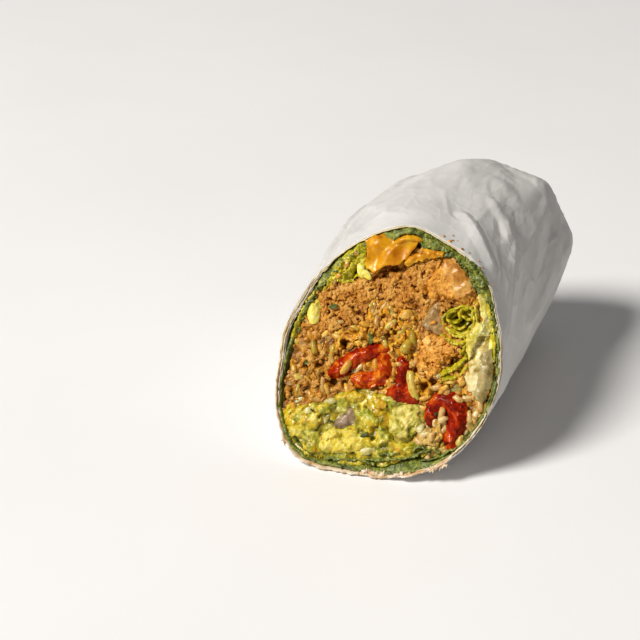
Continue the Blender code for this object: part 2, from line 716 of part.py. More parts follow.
def add_grains(core, verts, faces, look, count, seed):
    """Fuses loose grains onto the cut face of a heap of rice."""
    proud, rounding, lumps, lump_size, _ = look
    chance = random.Random(seed)
    outlines = [[verts[index] for index in face] for face in without_pinches(faces)]
    low = Vector((min(v.x for o in outlines for v in o), min(v.y for o in outlines for v in o)))
    high = Vector((max(v.x for o in outlines for v in o), max(v.y for o in outlines for v in o)))
    half_length = GRAIN_LENGTH / MM / 2 + GRAIN_MARGIN_MM
    half_width = GRAIN_WIDTH / MM / 2 + GRAIN_MARGIN_MM
    group = bpy.data.collections.new(core.name + "_grains")
    centres = []
    for _ in range(count * 60):
        if len(centres) == count:
            break
        u = chance.uniform(low.x, high.x)
        v = chance.uniform(low.y, high.y)
        turn = chance.uniform(0, math.pi)
        lean = chance.uniform(-0.35, 0.35)
        along = Vector((math.cos(turn), math.sin(turn)))
        across = Vector((-along.y, along.x))
        tests = [Vector((u, v)) + along * half_length * a + across * half_width * b
                 for a, b in ((0, 0), (1, 0), (-1, 0), (0.7, 0.7), (0.7, -0.7), (-0.7, 0.7),
                              (-0.7, -0.7), (0, 1), (0, -1))]
        if any((Vector((u, v)) - other).length < GRAINS_APART_MM for other in centres):
            continue
        if not all(any(inside(o, *test) for o in outlines) for test in tests):
            continue
        centres.append(Vector((u, v)))
        out = proud + lumps * 0.4 + chance.uniform(0.0, 0.5)
        p, q = to_section(u, v)
        grain = bpy.data.objects.new("grain", grain_mesh(seed + len(centres)))
        grain.location = place(p, q, cut_at(CENTRE_HEIGHT + q) - out * MM)
        face_turn = Euler((math.pi / 2 - CUT_TILT, 0, 0)).to_matrix()
        grain.rotation_euler = (face_turn @ Euler((0, lean, turn)).to_matrix()).to_euler()
        group.objects.link(grain)
    bpy.context.scene.collection.children.link(group)
    union = core.modifiers.new("grains", "BOOLEAN")
    union.operation = "UNION"
    union.operand_type = "COLLECTION"
    union.collection = group
    union.solver = "EXACT"
    graph = bpy.context.evaluated_depsgraph_get()
    fused = bpy.data.meshes.new_from_object(core.evaluated_get(graph))
    core.modifiers.remove(union)
    core.data = fused
    keep_outer_shell(fused)
    for grain in list(group.objects):
        bpy.data.objects.remove(grain)
    bpy.data.collections.remove(group)


def keep_outer_shell(mesh):
    """Keeps the largest connected surface, so sealed hollows are filled and scraps are dropped."""
    data = bmesh.new()
    data.from_mesh(mesh)
    left = set(data.faces)
    shells = []
    while left:
        shell, queue = [], [left.pop()]
        while queue:
            face = queue.pop()
            shell.append(face)
            for edge in face.edges:
                for other in edge.link_faces:
                    if other in left:
                        left.discard(other)
                        queue.append(other)
        shells.append(shell)
    shells.sort(key=len)
    for shell in shells[:-1]:
        bmesh.ops.delete(data, geom=shell, context="FACES")
    data.to_mesh(mesh)
    data.free()


def main():
    for old in list(bpy.data.objects):
        bpy.data.objects.remove(old)
    make_paper()
    make_tortilla()
    verts, shares = split_face()
    for seed, (name, _, *look) in enumerate(FILLINGS):
        core = make_filling(verts, shares[name], name, look, seed * 7.3)
        if name in GRAIN_COUNTS:
            add_grains(core, verts, shares[name], look, GRAIN_COUNTS[name], seed)


main()
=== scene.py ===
import math
import random

import bmesh
import bpy
import numpy as np
from mathutils import Matrix, Vector, noise
from mathutils.bvhtree import BVHTree
from mathutils.kdtree import KDTree


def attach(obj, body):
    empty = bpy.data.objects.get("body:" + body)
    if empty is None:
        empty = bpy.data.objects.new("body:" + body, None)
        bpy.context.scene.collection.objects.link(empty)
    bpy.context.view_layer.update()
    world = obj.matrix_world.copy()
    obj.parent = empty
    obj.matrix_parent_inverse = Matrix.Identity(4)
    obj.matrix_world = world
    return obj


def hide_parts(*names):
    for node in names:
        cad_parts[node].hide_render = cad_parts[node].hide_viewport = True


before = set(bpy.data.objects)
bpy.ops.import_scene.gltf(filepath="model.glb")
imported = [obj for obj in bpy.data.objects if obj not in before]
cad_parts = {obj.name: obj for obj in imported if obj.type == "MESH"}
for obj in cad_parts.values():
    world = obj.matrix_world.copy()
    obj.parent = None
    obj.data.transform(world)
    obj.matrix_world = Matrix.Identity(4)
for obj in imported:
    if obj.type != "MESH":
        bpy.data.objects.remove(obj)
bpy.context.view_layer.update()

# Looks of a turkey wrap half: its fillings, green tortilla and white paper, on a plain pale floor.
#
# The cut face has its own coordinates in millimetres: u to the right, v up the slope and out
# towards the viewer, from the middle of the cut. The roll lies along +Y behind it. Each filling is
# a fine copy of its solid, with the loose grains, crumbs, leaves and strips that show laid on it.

MM = 0.001
FULL_TURN = 2 * math.pi

# In metres: length of the rays that look for a surface, and how far the core of the tortilla lies
# behind the cut.
RAY_REACH = 0.09
CORE_BACK = 0.0022

# The cut plane and the roll, as in the solids.
FACE_TILT = math.radians(31.1)
FACE_MIDDLE = Vector((0, 0, 0.0342))
FACE_UP = Vector((0, math.sin(FACE_TILT), math.cos(FACE_TILT)))
FACE_OUT = Vector((0, -math.cos(FACE_TILT), math.sin(FACE_TILT)))
ROLL_LENGTH = 0.12
CAP_START = 0.0555
FILL_GROWTH = 0.4
END_DRIFT = 0.0188
END_RISE = 0.0047
BACK_ROWS = ((CAP_START, 1), (0.1, 0.8))

# Longest edges on the cut face, depth of the patch that is kept and sideways shift, in mm.
FINE = 0.42
FINER = 0.33
CUT_REACH = 9
WARP = 0.585

# Things laid on the cut: where they may lie in mm, tries for each, and how far they lean, in radians.
FACE_WIDE = (-40, 40)
FACE_HIGH = (-42, 48)
TRIES = 80
LEAN = 0.5

# Thin sheets: their lowest point, rows of points along a band, the paper's wall, and the share of
# its triangles that is kept. Lengths are in metres.
FLOOR_GAP = 0.0001
BAND_ROWS = 4
PAPER_WALL = 0.00022
PAPER_SHARE = 0.62

# Layered noise: how rough it is and how much finer each layer. Degrees in a radian, about.
FRACTAL = (0.8, 2.1)
RADIAN = 57.3


def rgb(colour):
    """Linear colour of a display colour in 0..255, or of a grey that is linear already."""
    if isinstance(colour, (int, float)):
        return colour, colour, colour, 1
    parts = [value / 255 for value in colour]
    return (*(part / 12.92 if part <= 0.04045 else ((part + 0.055) / 1.055) ** 2.4 for part in parts), 1)


# ---- places on the cut face

def on_face(u, v, out=0):
    return FACE_MIDDLE + Vector((u * MM, 0, 0)) + FACE_UP * (v * MM) + FACE_OUT * (out * MM)


def face_place(point):
    """The u, v and out of a world point, in millimetres."""
    apart = point - FACE_MIDDLE
    return apart.x / MM, apart.dot(FACE_UP) / MM, apart.dot(FACE_OUT) / MM


def smooth(low, high, value):
    t = min(max((value - low) / (high - low), 0), 1)
    return t * t * (3 - 2 * t)


def mix(a, b, t):
    return a + (b - a) * t


# ---- materials

class Look:
    """A material whose node tree is put together with short calls; sizes are in millimetres."""

    def __init__(self, name, **sockets):
        self.material = bpy.data.materials.new(name)
        self.material.use_nodes = True
        self.tree = self.material.node_tree
        self.shader = self.tree.nodes["Principled BSDF"]
        self.where = self.add("TexCoord", "Object", {})
        for socket, value in sockets.items():
            self.put(socket.replace("_", " "), value)

    def join(self, value, socket):
        if isinstance(value, bpy.types.NodeSocket):
            self.tree.links.new(value, socket)
        else:
            socket.default_value = value

    def put(self, socket, value):
        found = next(s for s in self.shader.inputs if s.name.lower() == socket.lower())
        self.join(value, found)

    def add(self, kind, output, inputs, **settings):
        """Adds a node with its settings and inputs, and returns one of its outputs."""
        node = self.tree.nodes.new("ShaderNode" + kind)
        for key, value in settings.items():
            setattr(node, key, value)
        for socket, value in inputs.items():
            self.join(value, node.inputs[socket])
        return node.outputs[output]

    def noise(self, size, detail=3, rough=0.55, bend=0, where=None):
        return self.add("TexNoise", "Fac", {
            "Vector": where or self.where, "Scale": 1 / (size * MM), "Detail": detail,
            "Roughness": rough, "Distortion": bend})

    def cells(self, size):
        return self.add("TexVoronoi", "Distance", {"Vector": self.where, "Scale": 1 / (size * MM)})

    def stretched(self, *scale):
        return self.add("VectorMath", 0, {0: self.where, 1: scale}, operation="MULTIPLY")

    def ramp(self, factor, *stops):
        """Colours by a factor, from pairs of place and colour."""
        node = self.tree.nodes.new("ShaderNodeValToRGB")
        elements = node.color_ramp.elements
        while len(elements) < len(stops):
            elements.new(0.5)
        for element, (place, colour) in zip(elements, stops):
            element.position = place
            element.color = rgb(colour)
        self.join(factor, node.inputs["Fac"])
        return node.outputs["Color"]

    def blend(self, factor, a, b, kind="MIX"):
        a, b = (part if isinstance(part, bpy.types.NodeSocket) else rgb(part) for part in (a, b))
        return self.add("Mix", 2, {0: factor, 6: a, 7: b}, data_type="RGBA", blend_type=kind)

    def stain(self, under, colour, patches, low, high, most=1):
        """Patches of another colour where a noise is high."""
        return self.blend(self.ramp(patches, (low, 0), (high, most)), under, colour)

    def sum(self, a, b, kind="ADD"):
        return self.add("Math", 0, {0: a, 1: b}, operation=kind)

    def span(self, value, low, high, to_low=0, to_high=1):
        return self.add("MapRange", "Result", {
            "Value": value, "From Min": low, "From Max": high, "To Min": to_low,
            "To Max": to_high}, clamp=True)

    def over(self, deep, tops, low=0, high=0.4):
        """Painted shade: a dark colour where a piece's relief is low, a lit one on its tops."""
        height = self.add("Attribute", "Fac", {}, attribute_name="height")
        return self.blend(self.span(height, low, high), deep, tops)

    def varied(self, apart, size, within):
        """A tone that differs from loose part to loose part, and a little within each."""
        part = self.add("NewGeometry", "Random Per Island", {})
        return self.sum(self.sum(part, apart, "MULTIPLY"), self.sum(self.noise(size), within, "MULTIPLY"))

    def bump(self, *waves):
        """Fine relief from pairs of height and depth in millimetres."""
        below = {}
        for height, depth in waves:
            below = {"Normal": self.add("Bump", "Normal", {"Distance": depth * MM, "Height": height,
                                                           **below})}
        self.put("Normal", below["Normal"])

    def finish(self, colour, rough, *waves):
        """Gives the look its colour, its roughness (size, low and high) and its fine relief."""
        size, low, high = rough
        self.put("Base Color", colour)
        self.put("Roughness", self.span(self.noise(size), 0.3, 0.7, low, high))
        self.bump(*waves)
        return self.material


def meat_look(name, light=0.97):
    look = Look(name, subsurface_weight=0.12, subsurface_scale=0.0012, specular_ior_level=0.35)
    tone = look.blend(0.5, look.noise(1.1, 4, 0.65), look.noise(5))
    # Palest stops: pale crumbs, and in part painted highlights on the crumb tops.
    tops = look.ramp(tone, (0.32, (146, 84, 12)), (0.43, (186, 120, 30)), (0.55, (210, 150, 56)),
                     (0.66, (230, 184, 104)), (0.76, (242, 210, 150)))
    # Painted shade: darker browns that go in the hollows of the meat.
    deep = look.ramp(look.noise(2.4), (0.35, (104, 54, 4)), (0.65, (166, 98, 14)))
    # light scales the whole look: the chunk's brighter copies are paler meat and partly painted light.
    colour = look.blend(1, look.over(deep, tops), light, "MULTIPLY")
    return look.finish(colour, (2.2, 0.3, 0.62), (look.noise(0.45), 0.16), (look.cells(0.7), 0.14))


def rice_core_look(name, *colours, deep=((90, 44, 2), (164, 100, 8))):
    look = Look(name, subsurface_weight=0.15, subsurface_scale=0.0012, specular_ior_level=0.4)
    tone = look.blend(0.5, look.noise(1.6), look.noise(4.5, 2))
    tops = look.ramp(tone, *zip((0.34, 0.5, 0.66), colours))
    tops = look.stain(tops, (222, 146, 14), look.noise(4, bend=0.5), 0.52, 0.62, 0.6)
    streaks = look.noise(3.2, where=look.stretched(1, 1.3, 0.8))
    tops = look.stain(tops, (178, 144, 90), streaks, 0.54, 0.64, 0.6)
    # Painted shade: the deep colours go in the hollows of the rice.
    deep = look.ramp(look.noise(2.4), *zip((0.35, 0.65), deep))
    return look.finish(look.over(deep, tops), (2, 0.2, 0.46), (look.noise(0.6), 0.16))


def grain_look(name, *colours):
    look = Look(name, subsurface_weight=0.3, subsurface_scale=0.0015)
    colour = look.ramp(look.varied(0.5, 1.5, 0.6), *zip((0.15, 0.45, 0.8), colours))
    colour = look.stain(colour, (188, 124, 28), look.noise(1.8), 0.5, 0.62, 0.8)
    return look.finish(colour, (1, 0.18, 0.42), (look.noise(0.7), 0.12))


def guacamole_look():
    look = Look("guacamole_look", subsurface_weight=0.25, subsurface_scale=0.0015,
                specular_ior_level=0.5)
    tone = look.blend(0.15, look.noise(3.6, bend=1), look.noise(1.3))
    yellow = look.ramp(tone, (0.36, (162, 132, 6)), (0.46, (194, 164, 20)), (0.57, (218, 192, 48)),
                       (0.68, (242, 226, 130)))
    green = look.ramp(tone, (0.36, (88, 98, 2)), (0.47, (142, 142, 18)), (0.58, (190, 184, 68)),
                      (0.68, (226, 220, 142)))
    tops = look.stain(yellow, green, look.noise(5, bend=0.5), 0.44, 0.56)
    streaks = look.noise(4.2, bend=0.5, where=look.stretched(1, 1.3, 0.8))
    tops = look.stain(tops, (214, 156, 20), streaks, 0.6, 0.68, 0.75)
    # Painted shade: dark greens that go in the hollows of the guacamole.
    deep = look.ramp(look.noise(2.5), (0.35, (88, 90, 2)), (0.65, (164, 138, 10)))
    return look.finish(look.over(deep, tops, 0, 0.36), (1.8, 0.2, 0.46), (look.noise(1.8, 2), 0.16))


def avocado_look(name, *colours):
    look = Look(name, subsurface_weight=0.3, subsurface_scale=0.0015, specular_ior_level=0.3)
    tone = look.blend(0.4, look.noise(4, bend=0.8), look.noise(1.1))
    tops = look.ramp(tone, *zip((0.36, 0.48, 0.64), colours))
    # Painted shade: the first, darkest colour goes in the hollows.
    colour = look.over(colours[0], tops, -0.1, 0.35)
    return look.finish(colour, (2, 0.3, 0.55), (look.noise(0.9), 0.16))


def pepper_look(name, orange=0):
    look = Look(name, subsurface_weight=0.04, subsurface_scale=0.001, coat_weight=0.16,
                coat_roughness=0.1, specular_ior_level=0.2, specular_tint=(1, 0.55, 0.28, 1))
    tone = look.sum(look.noise(3.4, bend=0.8), orange)
    colour = look.ramp(tone, (0.34, (102, 8, 1)), (0.48, (146, 22, 1)), (0.6, (184, 60, 4)),
                       (0.74, (214, 126, 22)))
    return look.finish(colour, (1.5, 0.25, 0.45), (look.noise(2.6, 2, bend=1), 0.16))


def cheese_look():
    look = Look("cheese_look", subsurface_weight=0.2, subsurface_scale=0.002, coat_weight=0.12,
                coat_roughness=0.2, specular_ior_level=0.4, specular_tint=(1, 0.82, 0.5, 1))
    colour = look.ramp(look.noise(5, bend=0.5), (0.32, (180, 104, 1)), (0.5, (204, 134, 3)),
                       (0.68, (226, 168, 28)))
    brown = look.ramp(look.cells(5.5), (0.1, 0.7), (0.24, 0))
    colour = look.blend(brown, colour, (150, 78, 1))
    return look.finish(colour, (1.5, 0.25, 0.42), (look.noise(3.4, 2), 0.1))


def leaf_look(name, *colours):
    look = Look(name, subsurface_weight=0.25, subsurface_scale=0.001)
    tone = look.blend(0.5, look.noise(2.2, bend=1.2), look.noise(5, 2))
    colour = look.ramp(tone, *zip((0.34, 0.5, 0.66), colours))
    return look.finish(colour, (1.5, 0.22, 0.42), (look.noise(1.1, 2), 0.1))


def smooth_look(name, *colours):
    look = Look(name, subsurface_weight=0.3, subsurface_scale=0.0015, specular_ior_level=0.4)
    tone = look.blend(0.25, look.noise(6, 2, bend=0.6), look.noise(1.6))
    colour = look.ramp(tone, *zip((0.36, 0.48, 0.6), colours))
    return look.finish(colour, (2.5, 0.25, 0.45), (look.noise(2.2, 2), 0.14))


def tortilla_look():
    look = Look("tortilla_look", subsurface_weight=0.15, subsurface_scale=0.001)
    tone = look.blend(0.4, look.noise(3, 4), look.noise(0.9, 2))
    colour = look.ramp(tone, (0.34, (40, 50, 4)), (0.46, (88, 98, 20)), (0.56, (128, 134, 44)),
                       (0.68, (184, 178, 92)))
    colour = look.stain(colour, (200, 198, 140), look.noise(0.55, 2), 0.64, 0.72)
    return look.finish(colour, (2, 0.3, 0.55), (look.noise(0.6), 0.16))


def paper_look(name, dark=(208, 205, 201), light=(219, 216, 212), size=18):
    look = Look(name, roughness=0.55)
    look.put("Base Color", look.ramp(look.noise(size, 4), (0.35, dark), (0.65, light)))
    fibres = look.noise(0.5, 4, where=look.stretched(1, 0.35, 1))
    look.bump((fibres, 0.02), (look.noise(9), 0.25))
    return look.material


def crumb_look(name, dark, light):
    look = Look(name, specular_ior_level=0.25)
    colour = look.ramp(look.varied(0.6, 0.8, 0.5), (0.2, dark), (0.8, light))
    return look.finish(colour, (1, 0.3, 0.6), (look.noise(0.35, 2), 0.08))


def floor_look():
    look = Look("floor_look", roughness=0.6)
    look.put("Base Color", look.ramp(look.noise(160), (0.3, (244, 242, 241)), (0.7, (248, 246, 245))))
    look.bump((look.noise(3), 0.02))
    return look.material


# ---- pieces

def add_piece(name, mesh, look, replaced=()):
    """Puts a mesh in the scene as a piece of the wrap."""
    mesh.shade_smooth()
    mesh.materials.clear()
    mesh.materials.append(look)
    made = add_object(name, mesh)
    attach(made, "root")
    if replaced:
        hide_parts(*replaced)
    return made


def add_object(name, data):
    """Puts an object in the scene."""
    made = bpy.data.objects.new(name, data)
    bpy.context.collection.objects.link(made)
    return made


def with_modifiers(made):
    """A mesh of an object as its modifiers leave it."""
    graph = bpy.context.evaluated_depsgraph_get()
    return bpy.data.meshes.new_from_object(made.evaluated_get(graph))


def written(data, mesh):
    """Writes editable mesh data to a mesh and frees it."""
    data.to_mesh(mesh)
    data.free()
    return mesh


def closed_mesh(name, points, faces):
    """A closed mesh with its faces turned outwards."""
    mesh = bpy.data.meshes.new(name)
    mesh.from_pydata([tuple(point) for point in points], [], faces)
    data = bmesh.new()
    data.from_mesh(mesh)
    bmesh.ops.recalc_face_normals(data, faces=data.faces)
    return written(data, mesh)


def welded(node):
    """The solid of a node as editable mesh data, with shared corners."""
    data = bmesh.new()
    data.from_mesh(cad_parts[node].data)
    bmesh.ops.remove_doubles(data, verts=data.verts, dist=1e-6)
    return data


# ---- places round the roll

def solid_tree(node):
    data = welded(node)
    tree = BVHTree.FromBMesh(data)
    data.free()
    return tree


def radial(angle):
    return Vector((math.cos(angle), 0, math.sin(angle)))


def axis_at(y):
    return Vector((0, y, FACE_MIDDLE.z))


def ring_radius(tree, angle, y, outside=True):
    """Radius in metres of a solid's outside or inside round the roll's axis, where it is cut."""
    for _ in range(40):
        if outside:
            hit = tree.ray_cast(axis_at(y) + radial(angle) * RAY_REACH, -radial(angle), RAY_REACH)
        else:
            hit = tree.ray_cast(axis_at(y), radial(angle), RAY_REACH)
        if hit[0]:
            return (hit[0] - axis_at(y)).length
        y += MM
    raise ValueError("no surface round the roll")


def turn_noise(angle, size, seed, octaves=3):
    """Noise round the roll that closes on itself; size in degrees."""
    reach = RADIAN / size
    return noise.fractal(Vector((math.cos(angle) * reach, math.sin(angle) * reach, seed)),
                         *FRACTAL, octaves)


TORTILLA_TREE = solid_tree("tortilla")
LINING = [ring_radius(TORTILLA_TREE, math.radians(degrees + 0.5), 0, outside=False)
          for degrees in range(360)]
OVERHANG = 0.9

# How far the fillings reach over the tortilla's edge in mm, every 15 degrees anticlockwise from +X.
COVER = (
    0.5, 0.9, 0.7, 0.3, 0.8, 0.2, 1.3, 2.2, 1.6, 1.2, 0.6, 0.6, -0.5, -0.8, -0.3, 0.8, 1.7, 1, 0.5, 0.1,
    0.1, 0.8, 1, 0.7)
# Hollows in the cut, dark from their depth and from painted shade: u, v, radius and depth in mm.
HOLLOWS = (
    (3, 41.6, 1.2, 4), (20.8, 38.4, 1.1, 4), (25.2, 31.6, 0.8, 3), (28, 28.4, 0.8, 3),
    (22.4, 17.6, 4.2, 3.2), (21.6, -5.2, 0.8, 3), (16, -4.4, 1, 3.5), (7.6, 2.4, 0.8, 2.5),
    (25.4, 5.8, 1.6, 4), (22.4, 3.6, 1.6, 4), (25, 1, 0.9, 3), (28.2, 21.5, 0.7, 2), (-17, 4.6, 1.3, 5),
    (-19, 0.3, 1.1, 4.5), (-19.4, -8.8, 1.2, 5), (-14.8, -9.3, 1.1, 4.5), (29.2, -12.4, 0.9, 3),
    (30.6, -20.6, 0.9, 3), (-8.5, -16.7, 0.9, 1.6), (-6, -16.4, 0.7, 1.6), (-18, 30.6, 1.3, 4),
    (-10, 29.4, 0.8, 2.5), (-4, 33.2, 0.9, 3), (-7, 32.4, 0.7, 2.5), (9.4, -1, 0.8, 2.5),
    (13.5, -6, 1.1, 3), (31.5, 1.3, 0.8, 1.6), (-10.5, 36.8, 1.1, 1.8), (0.2, 11.2, 0.8, 2),
    (-37.4, -2, 1.2, 3), (-37.6, -7, 1.2, 3), (-37.4, -12, 1.2, 3), (-36.8, -17, 1.2, 3),
    (-30, -4.4, 1, 2), (-26, -4, 0.9, 1.6), (6.4, 26, 0.7, 2), (-25, 15, 0.7, 2), (-2, -27, 0.8, 1.6))


# ---- relief of the cut face

def bumps(u, v, size, seed, sharp=2):
    """Rounded crumbs with creases between them: 1 on their tops and 0 in the creases."""
    near = noise.voronoi(Vector((u / size, v / size, seed)))[0]
    return 1 - min(near[0] / 0.75, 1) ** sharp


def wave(u, v, size, seed, octaves=3):
    return noise.fractal(Vector((u / size, v / size, seed)), *FRACTAL, octaves)


def crumbly(u, v):
    du, dv = 0.8 * wave(u, v, 1.8, 3), 0.8 * wave(u, v, 1.8, 4)
    coarse = bumps(u + du * 2, v + dv * 2, 3.3, 1.7)
    fine = bumps(u + du, v + dv, 1.25, 5.1, 1.5)
    ragged = wave(u, v, 0.75, 6.6)
    pit = smooth(0.22, 0.55, wave(u, v, 2.9, 17))
    return (0.6 * coarse + 0.42 * fine + 0.26 * ragged + 0.9 * wave(u, v, 5.5, 8.8)
            - 1.4 * pit - 0.45)


def finely_crumbly(u, v):
    return 0.62 * crumbly(u, v) + 0.15


def chunky(u, v):
    return 0.45 * crumbly(u, v) + 0.8 * wave(u, v, 4.5, 31) + 0.2 * wave(u, v, 1, 7.1)


def grainy(u, v):
    du, dv = 0.9 * wave(u, v, 2.2, 3), 0.9 * wave(u, v, 2.2, 4)
    lump = bumps((u + du) * 0.8, (v + dv) * 1.2, 2.7, 9.3, 1.8)
    return 0.95 * lump + 0.8 * wave(u, v, 4, 2.2) + 0.22 * wave(u, v, 0.9, 6.1) - 0.7


# Smooth lobes of avocado in the guacamole: u, v, length, width in mm, turn in degrees.
LOBES = (
    (-25, -24, 9, 5.8, 30), (-12, -13.4, 8, 4.6, 10), (-4, -21, 8, 6, 60), (1.4, -25.4, 7, 4.8, 120),
    (-30.4, -27, 8, 5, 150), (-20.6, -18.6, 6.6, 4.2, 20), (-34, -21.5, 6, 4.2, 80),
    (-1.5, -14.4, 7, 4, 160), (8.4, -29.2, 6.4, 3.6, 10), (-22, -32, 7, 4.4, 0),
    (-12.5, -31.6, 8, 4.8, 170), (10, -18.5, 8, 5.2, 80), (6.6, -22.6, 7.4, 5, 130),
    (-28.6, -20.6, 5.6, 3.6, 60), (-17.4, -27.6, 6, 4, 40))


def lobe(u, v):
    """How far a place lies inside a lobe, from 0 at its edge to 1 in its middle."""
    u, v = u + 1.6 * wave(u, v, 3, 71), v + 1.6 * wave(u, v, 3, 72)
    inside = 0
    for a, b, length, width, turn in LOBES:
        turn = math.radians(turn)
        x = (math.cos(turn) * (u - a) + math.sin(turn) * (v - b)) / length * 2
        y = (math.cos(turn) * (v - b) - math.sin(turn) * (u - a)) / width * 2
        inside = max(inside, 1 - x * x - y * y)
    return inside


def mashed(u, v):
    inside = lobe(u, v)
    if inside > 0:
        return 0.3 + 1.1 * inside ** 0.6 + 0.3 * wave(u, v, 3.6, 1.1, 1)
    lump = bumps(u + 2 * wave(u, v, 4, 6), v + 2 * wave(u, v, 4, 7), 5.4, 4.4, 1.7)
    small = bumps(u + wave(u, v, 2, 8), v + wave(u, v, 2, 9), 2.4, 2.4, 1.7)
    return 0.9 * lump + 0.16 * small + 1.3 * wave(u, v, 4.2, 1.1, 2) - 0.65


def soft(u, v):
    return 0.7 * wave(u, v, 4, 5.5, 2) + 0.12 * wave(u, v, 1.2, 7.5, 2)


def leafy(u, v):
    fold = 1 - abs(wave(u, v, 3.6, 12.5, 2)) * 1.7
    return 1.9 * fold + 0.25 * wave(u, v, 1.4, 4.2) - 1.2


def skinned(u, v):
    ridges = 1 - abs(wave(u * 0.5 + v * 0.2, v * 0.9 - u * 0.35, 3.2, 15.5, 1)) * 2
    return 0.45 * ridges + 0.6 * wave(u, v, 5, 5.9, 1) - 0.3


def draped(u, v):
    fold = math.sin((v - 0.3 * u) / 1.5 + 1.6 * wave(u, v, 6, 3, 2))
    return 0.35 * fold + 0.8 * wave(u, v, 6, 61, 1)


def ribbed(u, v):
    groove = math.exp(-((u - 30.6 + 0.25 * (12 - v)) ** 2) / 1.2) * smooth(3, 7, v) * smooth(16, 12, v)
    return 0.7 * wave(u * 1.5 + v * 0.3, v * 0.45, 6, 5.5, 1) - 1.2 * groove


def hollow(u, v):
    """Depth of the dark hollows at a place, in mm."""
    return sum(depth * math.exp(-((u - a) ** 2 + (v - b) ** 2) / size ** 2)
               for a, b, size, depth in HOLLOWS)


def warped(u, v):
    """Small sideways shift of everything on the cut, which makes every outline uneven."""
    return (u + WARP * wave(u, v, 2.2, 21), v + WARP * wave(u, v, 2.2, 34))


def front_patch(node):
    """The part of a filling's solid that shows at the cut, as open mesh data."""
    data = welded(node)
    deep = [f for f in data.faces if min(face_place(v.co)[2] for v in f.verts) < -CUT_REACH]
    bmesh.ops.delete(data, geom=deep, context="FACES")
    bmesh.ops.triangulate(data, faces=data.faces)
    return data


def refine(data, edge):
    """Splits an open patch until its edges are shorter than a length in millimetres."""
    for _ in range(5):
        long = [e for e in data.edges if e.calc_length() > edge * MM]
        if not long:
            return
        bmesh.ops.subdivide_edges(data, edges=long, cuts=1)
        bmesh.ops.triangulate(data, faces=[f for f in data.faces if len(f.verts) > 3])


def behind(point, s, squeeze):
    """A point of the cut carried along the roll to a distance s, as the solids run."""
    scale = (1 + FILL_GROWTH * s) / (1 + FILL_GROWTH * point.y) * squeeze
    share = max((s - CAP_START) / (ROLL_LENGTH - CAP_START), 0) ** 2
    return Vector((point.x * scale + END_DRIFT * share, s,
                   FACE_MIDDLE.z + (point.z - FACE_MIDDLE.z) * scale + END_RISE * share))


def close_behind(data):
    """Runs walls from the rim of a patch along the roll and closes them, so it is a solid."""
    rim = [e for e in data.edges if len(e.link_faces) == 1]
    pairs = []
    for edge in rim:
        loop = edge.link_loops[0]
        pairs.append((loop.vert, loop.link_loop_next.vert))
    ring = {vert: vert for pair in pairs for vert in pair}
    places = {vert: vert.co.copy() for vert in ring}
    for s, squeeze in BACK_ROWS:
        row = {vert: data.verts.new(behind(places[vert], s, squeeze)) for vert in ring}
        for a, b in pairs:
            data.faces.new((ring[b], ring[a], row[a], row[b]))
        ring = row
    back = [data.edges.get((ring[a], ring[b])) for a, b in pairs]
    bmesh.ops.triangle_fill(data, edges=back, use_beauty=True, use_dissolve=False)


def spread_rim(data, by):
    """Moves the rim of a patch out sideways, so that soft neighbours meet.

    Along the tortilla it moves further in places, so that the tortilla's edge shows unevenly.
    """
    moves = {}
    for edge in data.edges:
        if not edge.is_boundary:
            continue
        face = edge.link_faces[0]
        apart = edge.verts[1].co - edge.verts[0].co
        out = apart.cross(FACE_OUT).normalized()
        middle = (edge.verts[0].co + edge.verts[1].co) / 2
        if out.dot(face.calc_center_median() - middle) > 0:
            out.negate()
        for vert in edge.verts:
            moves[vert] = moves.get(vert, Vector()) + out
    for vert, move in moves.items():
        if move.length < 0.1:
            continue
        reach = by
        angle = math.atan2(vert.co.z - FACE_MIDDLE.z, vert.co.x)
        lining = LINING[int(math.degrees(angle) % 360)]
        if (vert.co - axis_at(vert.co.y)).length > lining - 0.8 * MM:
            share = math.degrees(angle) % 360 / 15
            cover = mix(COVER[int(share)], COVER[(int(share) + 1) % 24], share % 1)
            reach = by + cover + OVERHANG * smooth(-0.45, 0.45, turn_noise(angle, 9, 41))
        vert.co += move.normalized() * reach * MM


def dress(node, look, slot, relief, edge, rounding, reach, lift, spread, smoothing=4):
    """A fine copy of a filling with relief on its cut face, which stands for its node.

    edge is the longest edge, rounding and reach shape its rim, and spread moves its rim outwards,
    all in mm.
    """
    data = front_patch(node)
    refine(data, edge)
    if spread:
        spread_rim(data, spread)
        refine(data, edge)
    rim = [v for v in data.verts if v.is_boundary]
    inner = [v for v in data.verts if not v.is_boundary]
    for _ in range(smoothing):
        bmesh.ops.smooth_vert(data, verts=inner, factor=0.5, use_axis_x=True, use_axis_y=True,
                              use_axis_z=True)
    tree = KDTree(len(rim))
    for index, vert in enumerate(rim):
        tree.insert(vert.co, index)
    tree.balance()
    layer = data.verts.layers.float.new("height")
    for vert in data.verts:
        u, v, out = face_place(vert.co)
        inward = min(tree.find(vert.co)[2] / MM / reach, 1)
        rise = relief(u, v) - hollow(u, v)
        out += lift + rise * (0.35 + 0.65 * inward) - rounding * (1 - inward) ** 2
        # Painted shade: lower colour height in hollows and towards the rim, which the looks darken.
        vert[layer] = max(0.5 + 0.5 * rise - 0.2 * (1 - inward), -1)
        vert.co = on_face(*warped(u, v), out)
    close_behind(data)
    mesh = written(data, bpy.data.meshes.new(node))
    return add_piece(node + "_food", mesh, look, [node])


# ---- loose grains and crumbs

